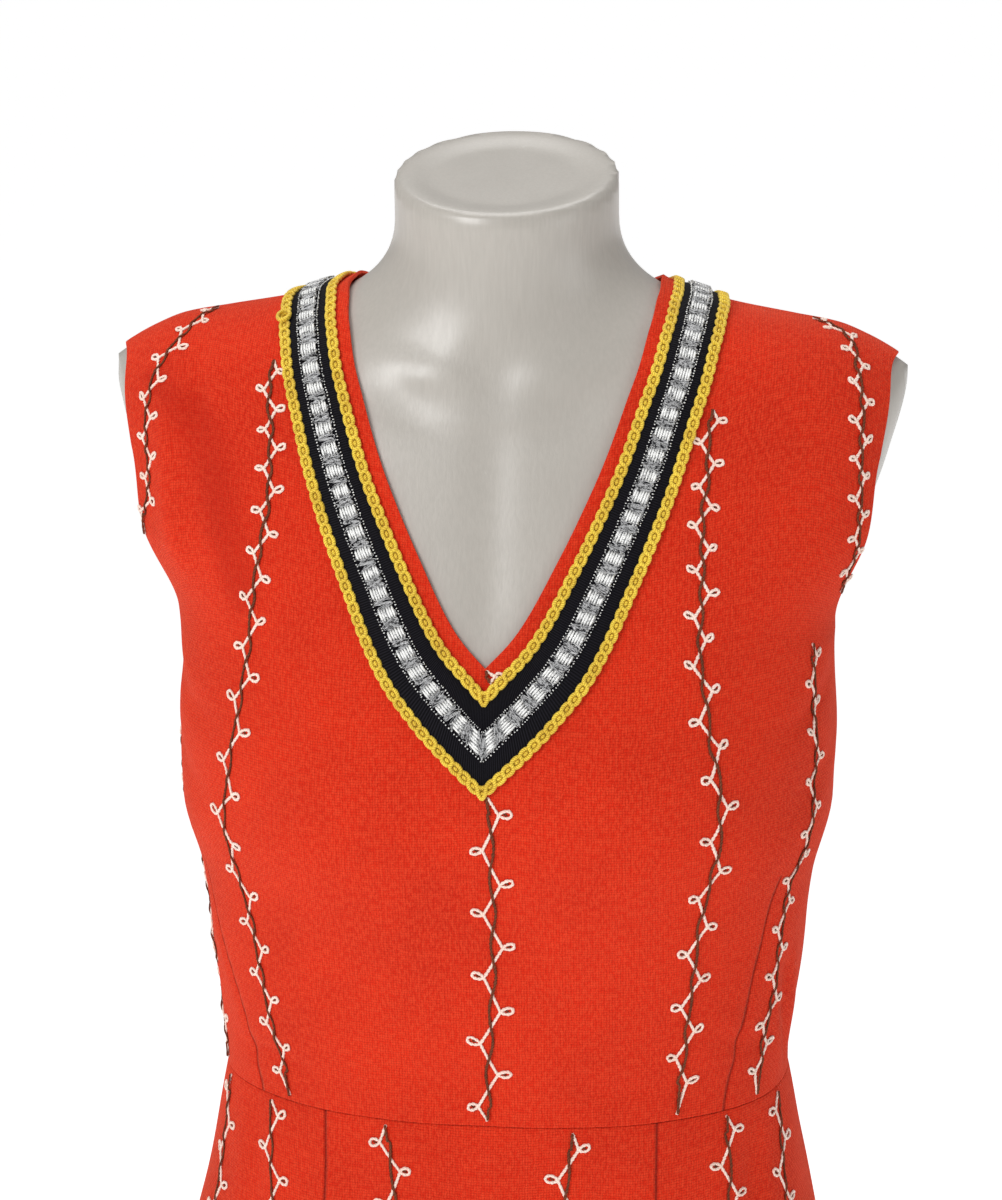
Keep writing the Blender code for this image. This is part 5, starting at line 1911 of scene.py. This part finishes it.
@dataclass(frozen=True)
class Stand:
    """Collar, pole, hub and base plate that carry the form."""

    pole_radius: float = 0.0125
    collar_radius: float = 0.032
    collar_height: float = 0.030
    base_radius: float = 0.170
    base_height: float = 0.008
    hub_radius: float = 0.032
    hub_height: float = 0.045
    hub_slope: Pair = (0.005, 0.018)
    flange: float = 0.005
    flange_slope: float = 0.003
    sleeve: float = 0.005
    sides: int = 96

    @property
    def bore(self) -> float:
        """Radius of the hub's and the collar's bore."""
        return self.pole_radius + SEAM_GAP

    @property
    def foot(self) -> float:
        """Height at which the pole and the hub begin."""
        return self.base_height + SEAM_GAP

    @property
    def top(self) -> float:
        """Height at which the pole and the collar end."""
        return FORM_BASE_Z - SEAM_GAP

    def turned(self, name: str, profile: Sequence[Pair]) -> Piece:
        """A ring turned from a closed profile of (radius, height) points."""
        deselect_all()
        bpy.ops.mesh.primitive_circle_add(vertices=len(profile), radius=0.01)
        piece = active_piece(name)
        set_coordinates(piece.data, np.array([(radius, 0.0, height) for radius, height in profile]))
        bpy.ops.object.mode_set(mode="EDIT")
        bpy.ops.mesh.select_all(action="SELECT")
        bpy.ops.mesh.spin(steps=self.sides, angle=2 * math.pi, center=(0, 0, 0), axis=(0, 0, 1))
        bpy.ops.mesh.select_all(action="SELECT")
        bpy.ops.mesh.remove_doubles(threshold=0.00002)
        bpy.ops.mesh.normals_make_consistent(inside=False)
        bpy.ops.object.mode_set(mode="OBJECT")
        bevel(piece, 0.0006)
        smooth(piece, 35.0)
        return piece

    def cylinder(self, name: str, sides: int, radius: float, low: float, high: float) -> Piece:
        """An upright cylinder between two heights."""
        deselect_all()
        middle = (0, 0, 0.5 * (high + low))
        bpy.ops.mesh.primitive_cylinder_add(vertices=sides, radius=radius, depth=high - low, location=middle)
        piece = active_piece(name)
        bpy.ops.object.transform_apply(location=True, rotation=False, scale=False)
        return piece

    def base(self) -> Piece:
        """The base plate, with its upper edge rounded over."""
        piece = self.cylinder("base_plate", 128, self.base_radius, 0.0, self.base_height)
        bpy.ops.object.mode_set(mode="EDIT")
        bpy.ops.mesh.select_all(action="DESELECT")
        bpy.ops.object.mode_set(mode="OBJECT")
        for face in piece.data.polygons:
            face.select = face.normal.z > 0.9
        bpy.ops.object.mode_set(mode="EDIT")
        bpy.ops.mesh.bevel(offset=0.003, segments=4, profile=0.6)
        bpy.ops.object.mode_set(mode="OBJECT")
        smooth(piece, 35.0)
        return piece

    def pole(self) -> Piece:
        """The pole."""
        piece = self.cylinder("pole", 64, self.pole_radius, self.foot, self.top)
        bevel(piece, 0.0005)
        smooth(piece, 35.0)
        return piece

    def hub(self) -> Piece:
        """The hub that the pole stands in."""
        sleeve = self.bore + self.sleeve
        low, high = (self.foot + height for height in self.hub_slope)
        top = self.foot + self.hub_height
        return self.turned(
            "pole_hub",
            (
                (self.bore, top), (sleeve, top), (sleeve, high),
                (self.hub_radius, low), (self.hub_radius, self.foot), (self.bore, self.foot),
            ),
        )

    def collar(self) -> Piece:
        """The collar under the form."""
        sleeve = self.bore + self.sleeve
        low = self.top - self.collar_height
        flange = self.top - self.flange
        return self.turned(
            "pole_collar",
            (
                (self.bore, self.top), (self.collar_radius, self.top), (self.collar_radius, flange),
                (sleeve, flange - self.flange_slope), (sleeve, low), (self.bore, low),
            ),
        )

    def build(self, finishes: Finishes) -> None:
        """Builds the stand."""
        pieces = self.hub(), self.collar(), self.base(), self.pole()
        for piece, solid in zip(pieces, ("stand_hub", "stand_collar", "stand_base", "stand_pole")):
            finish_piece(piece, finishes.steel, [solid])


# Floor, light and camera


@dataclass(frozen=True)
class Lamp:
    """A soft rectangular studio light that looks at the dress."""

    name: str
    place: Point
    size: float
    power: float


@dataclass(frozen=True)
class Studio:
    """Pale floor, white surroundings, soft lights and the photograph's camera."""

    aim: Point = (0.0, 0.0, 1.24579)
    camera_place: Point = (0.144354, -1.453730, 1.586129)
    lens: float = 87.75
    shift: float = -0.0059
    lamp_aim: Point = (0.0, 0.0, 1.15)
    lamps: tuple[Lamp, ...] = (
        Lamp("key", (-1.5, -2.2, 2.7), 1.3, 52.0),
        Lamp("fill", (2.7, -1.2, 1.7), 1.6, 11.0),
        Lamp("top", (0.0, 0.5, 3.2), 1.5, 22.0),
    )

    def aim_at(self, thing: Piece, target: Point) -> None:
        """Turns a lamp or the camera towards a point."""
        direction = Vector(target) - thing.location
        thing.rotation_euler = direction.to_track_quat("-Z", "Y").to_euler()

    def floor(self) -> None:
        """A large pale floor."""
        deselect_all()
        bpy.ops.mesh.primitive_plane_add(size=240.0, location=(0.0, 0.0, 0.0))
        floor = active_piece("floor")
        finish = Finish("pale floor")
        finish.set(Base_Color=(0.80, 0.80, 0.80), Roughness=0.9, Specular_IOR_Level=0.1)
        finish.set(Emission_Color=(1.0, 1.0, 1.0), Emission_Strength=0.76)
        floor.data.materials.append(finish.material)

    def surroundings(self) -> None:
        """White surroundings, dimmer as light than as background."""
        world = bpy.data.worlds.new("studio")
        world.use_nodes = True
        nodes = NodeTree(world.node_tree)
        background = world.node_tree.nodes["Background"]
        path = nodes.add("ShaderNodeLightPath")
        strength = nodes.ramp(path.outputs["Is Camera Ray"], 0.0, 1.0, 0.30, 1.0)
        nodes.fill(background.inputs["Color"], (1.0, 1.0, 1.0))
        nodes.fill(background.inputs["Strength"], strength)
        bpy.context.scene.world = world

    def lights(self) -> None:
        """The soft lights."""
        for lamp in self.lamps:
            data = bpy.data.lights.new(lamp.name, "AREA")
            data.shape = "SQUARE"
            data.size = lamp.size
            data.energy = lamp.power
            light = new_piece(lamp.name, data)
            light.location = lamp.place
            self.aim_at(light, self.lamp_aim)

    def camera(self) -> None:
        """The camera of the photograph."""
        data = bpy.data.cameras.new("camera")
        data.lens = self.lens
        data.sensor_width = 36.0
        data.shift_x = self.shift
        camera = new_piece("camera", data)
        camera.location = self.camera_place
        self.aim_at(camera, self.aim)
        bpy.context.scene.camera = camera

    def build(self) -> None:
        """Builds the studio."""
        self.floor()
        self.surroundings()
        self.lights()
        self.camera()
        bpy.context.scene.view_settings.view_transform = "Standard"


def main() -> None:
    """Builds every piece in order."""
    logging.basicConfig(level=logging.INFO, format="%(name)s %(message)s")
    bodice_face = ClothFace(bodice_shape, BODICE_CREASES, WAIST_Z - 0.004, BODICE_TOP)
    skirt_face = ClothFace(skirt_shape, SKIRT_CREASES, HEM_Z - 0.002, WAIST_Z + 0.002)
    finishes = make_finishes()
    Studio().build()
    DressForm().build(finishes)
    Stand().build(finishes)
    Bodice(bodice_face).build(finishes)
    Skirt(skirt_face).build(finishes)
    NeckTrim(bodice_face).build(finishes)
    VineStitch(bodice_face).build("bodice_vines", BODICE_VINES, seed=5, finishes=finishes)
    VineStitch(skirt_face).build("skirt_vines", SKIRT_VINES, seed=9, finishes=finishes)


if __name__ == "__main__":
    main()
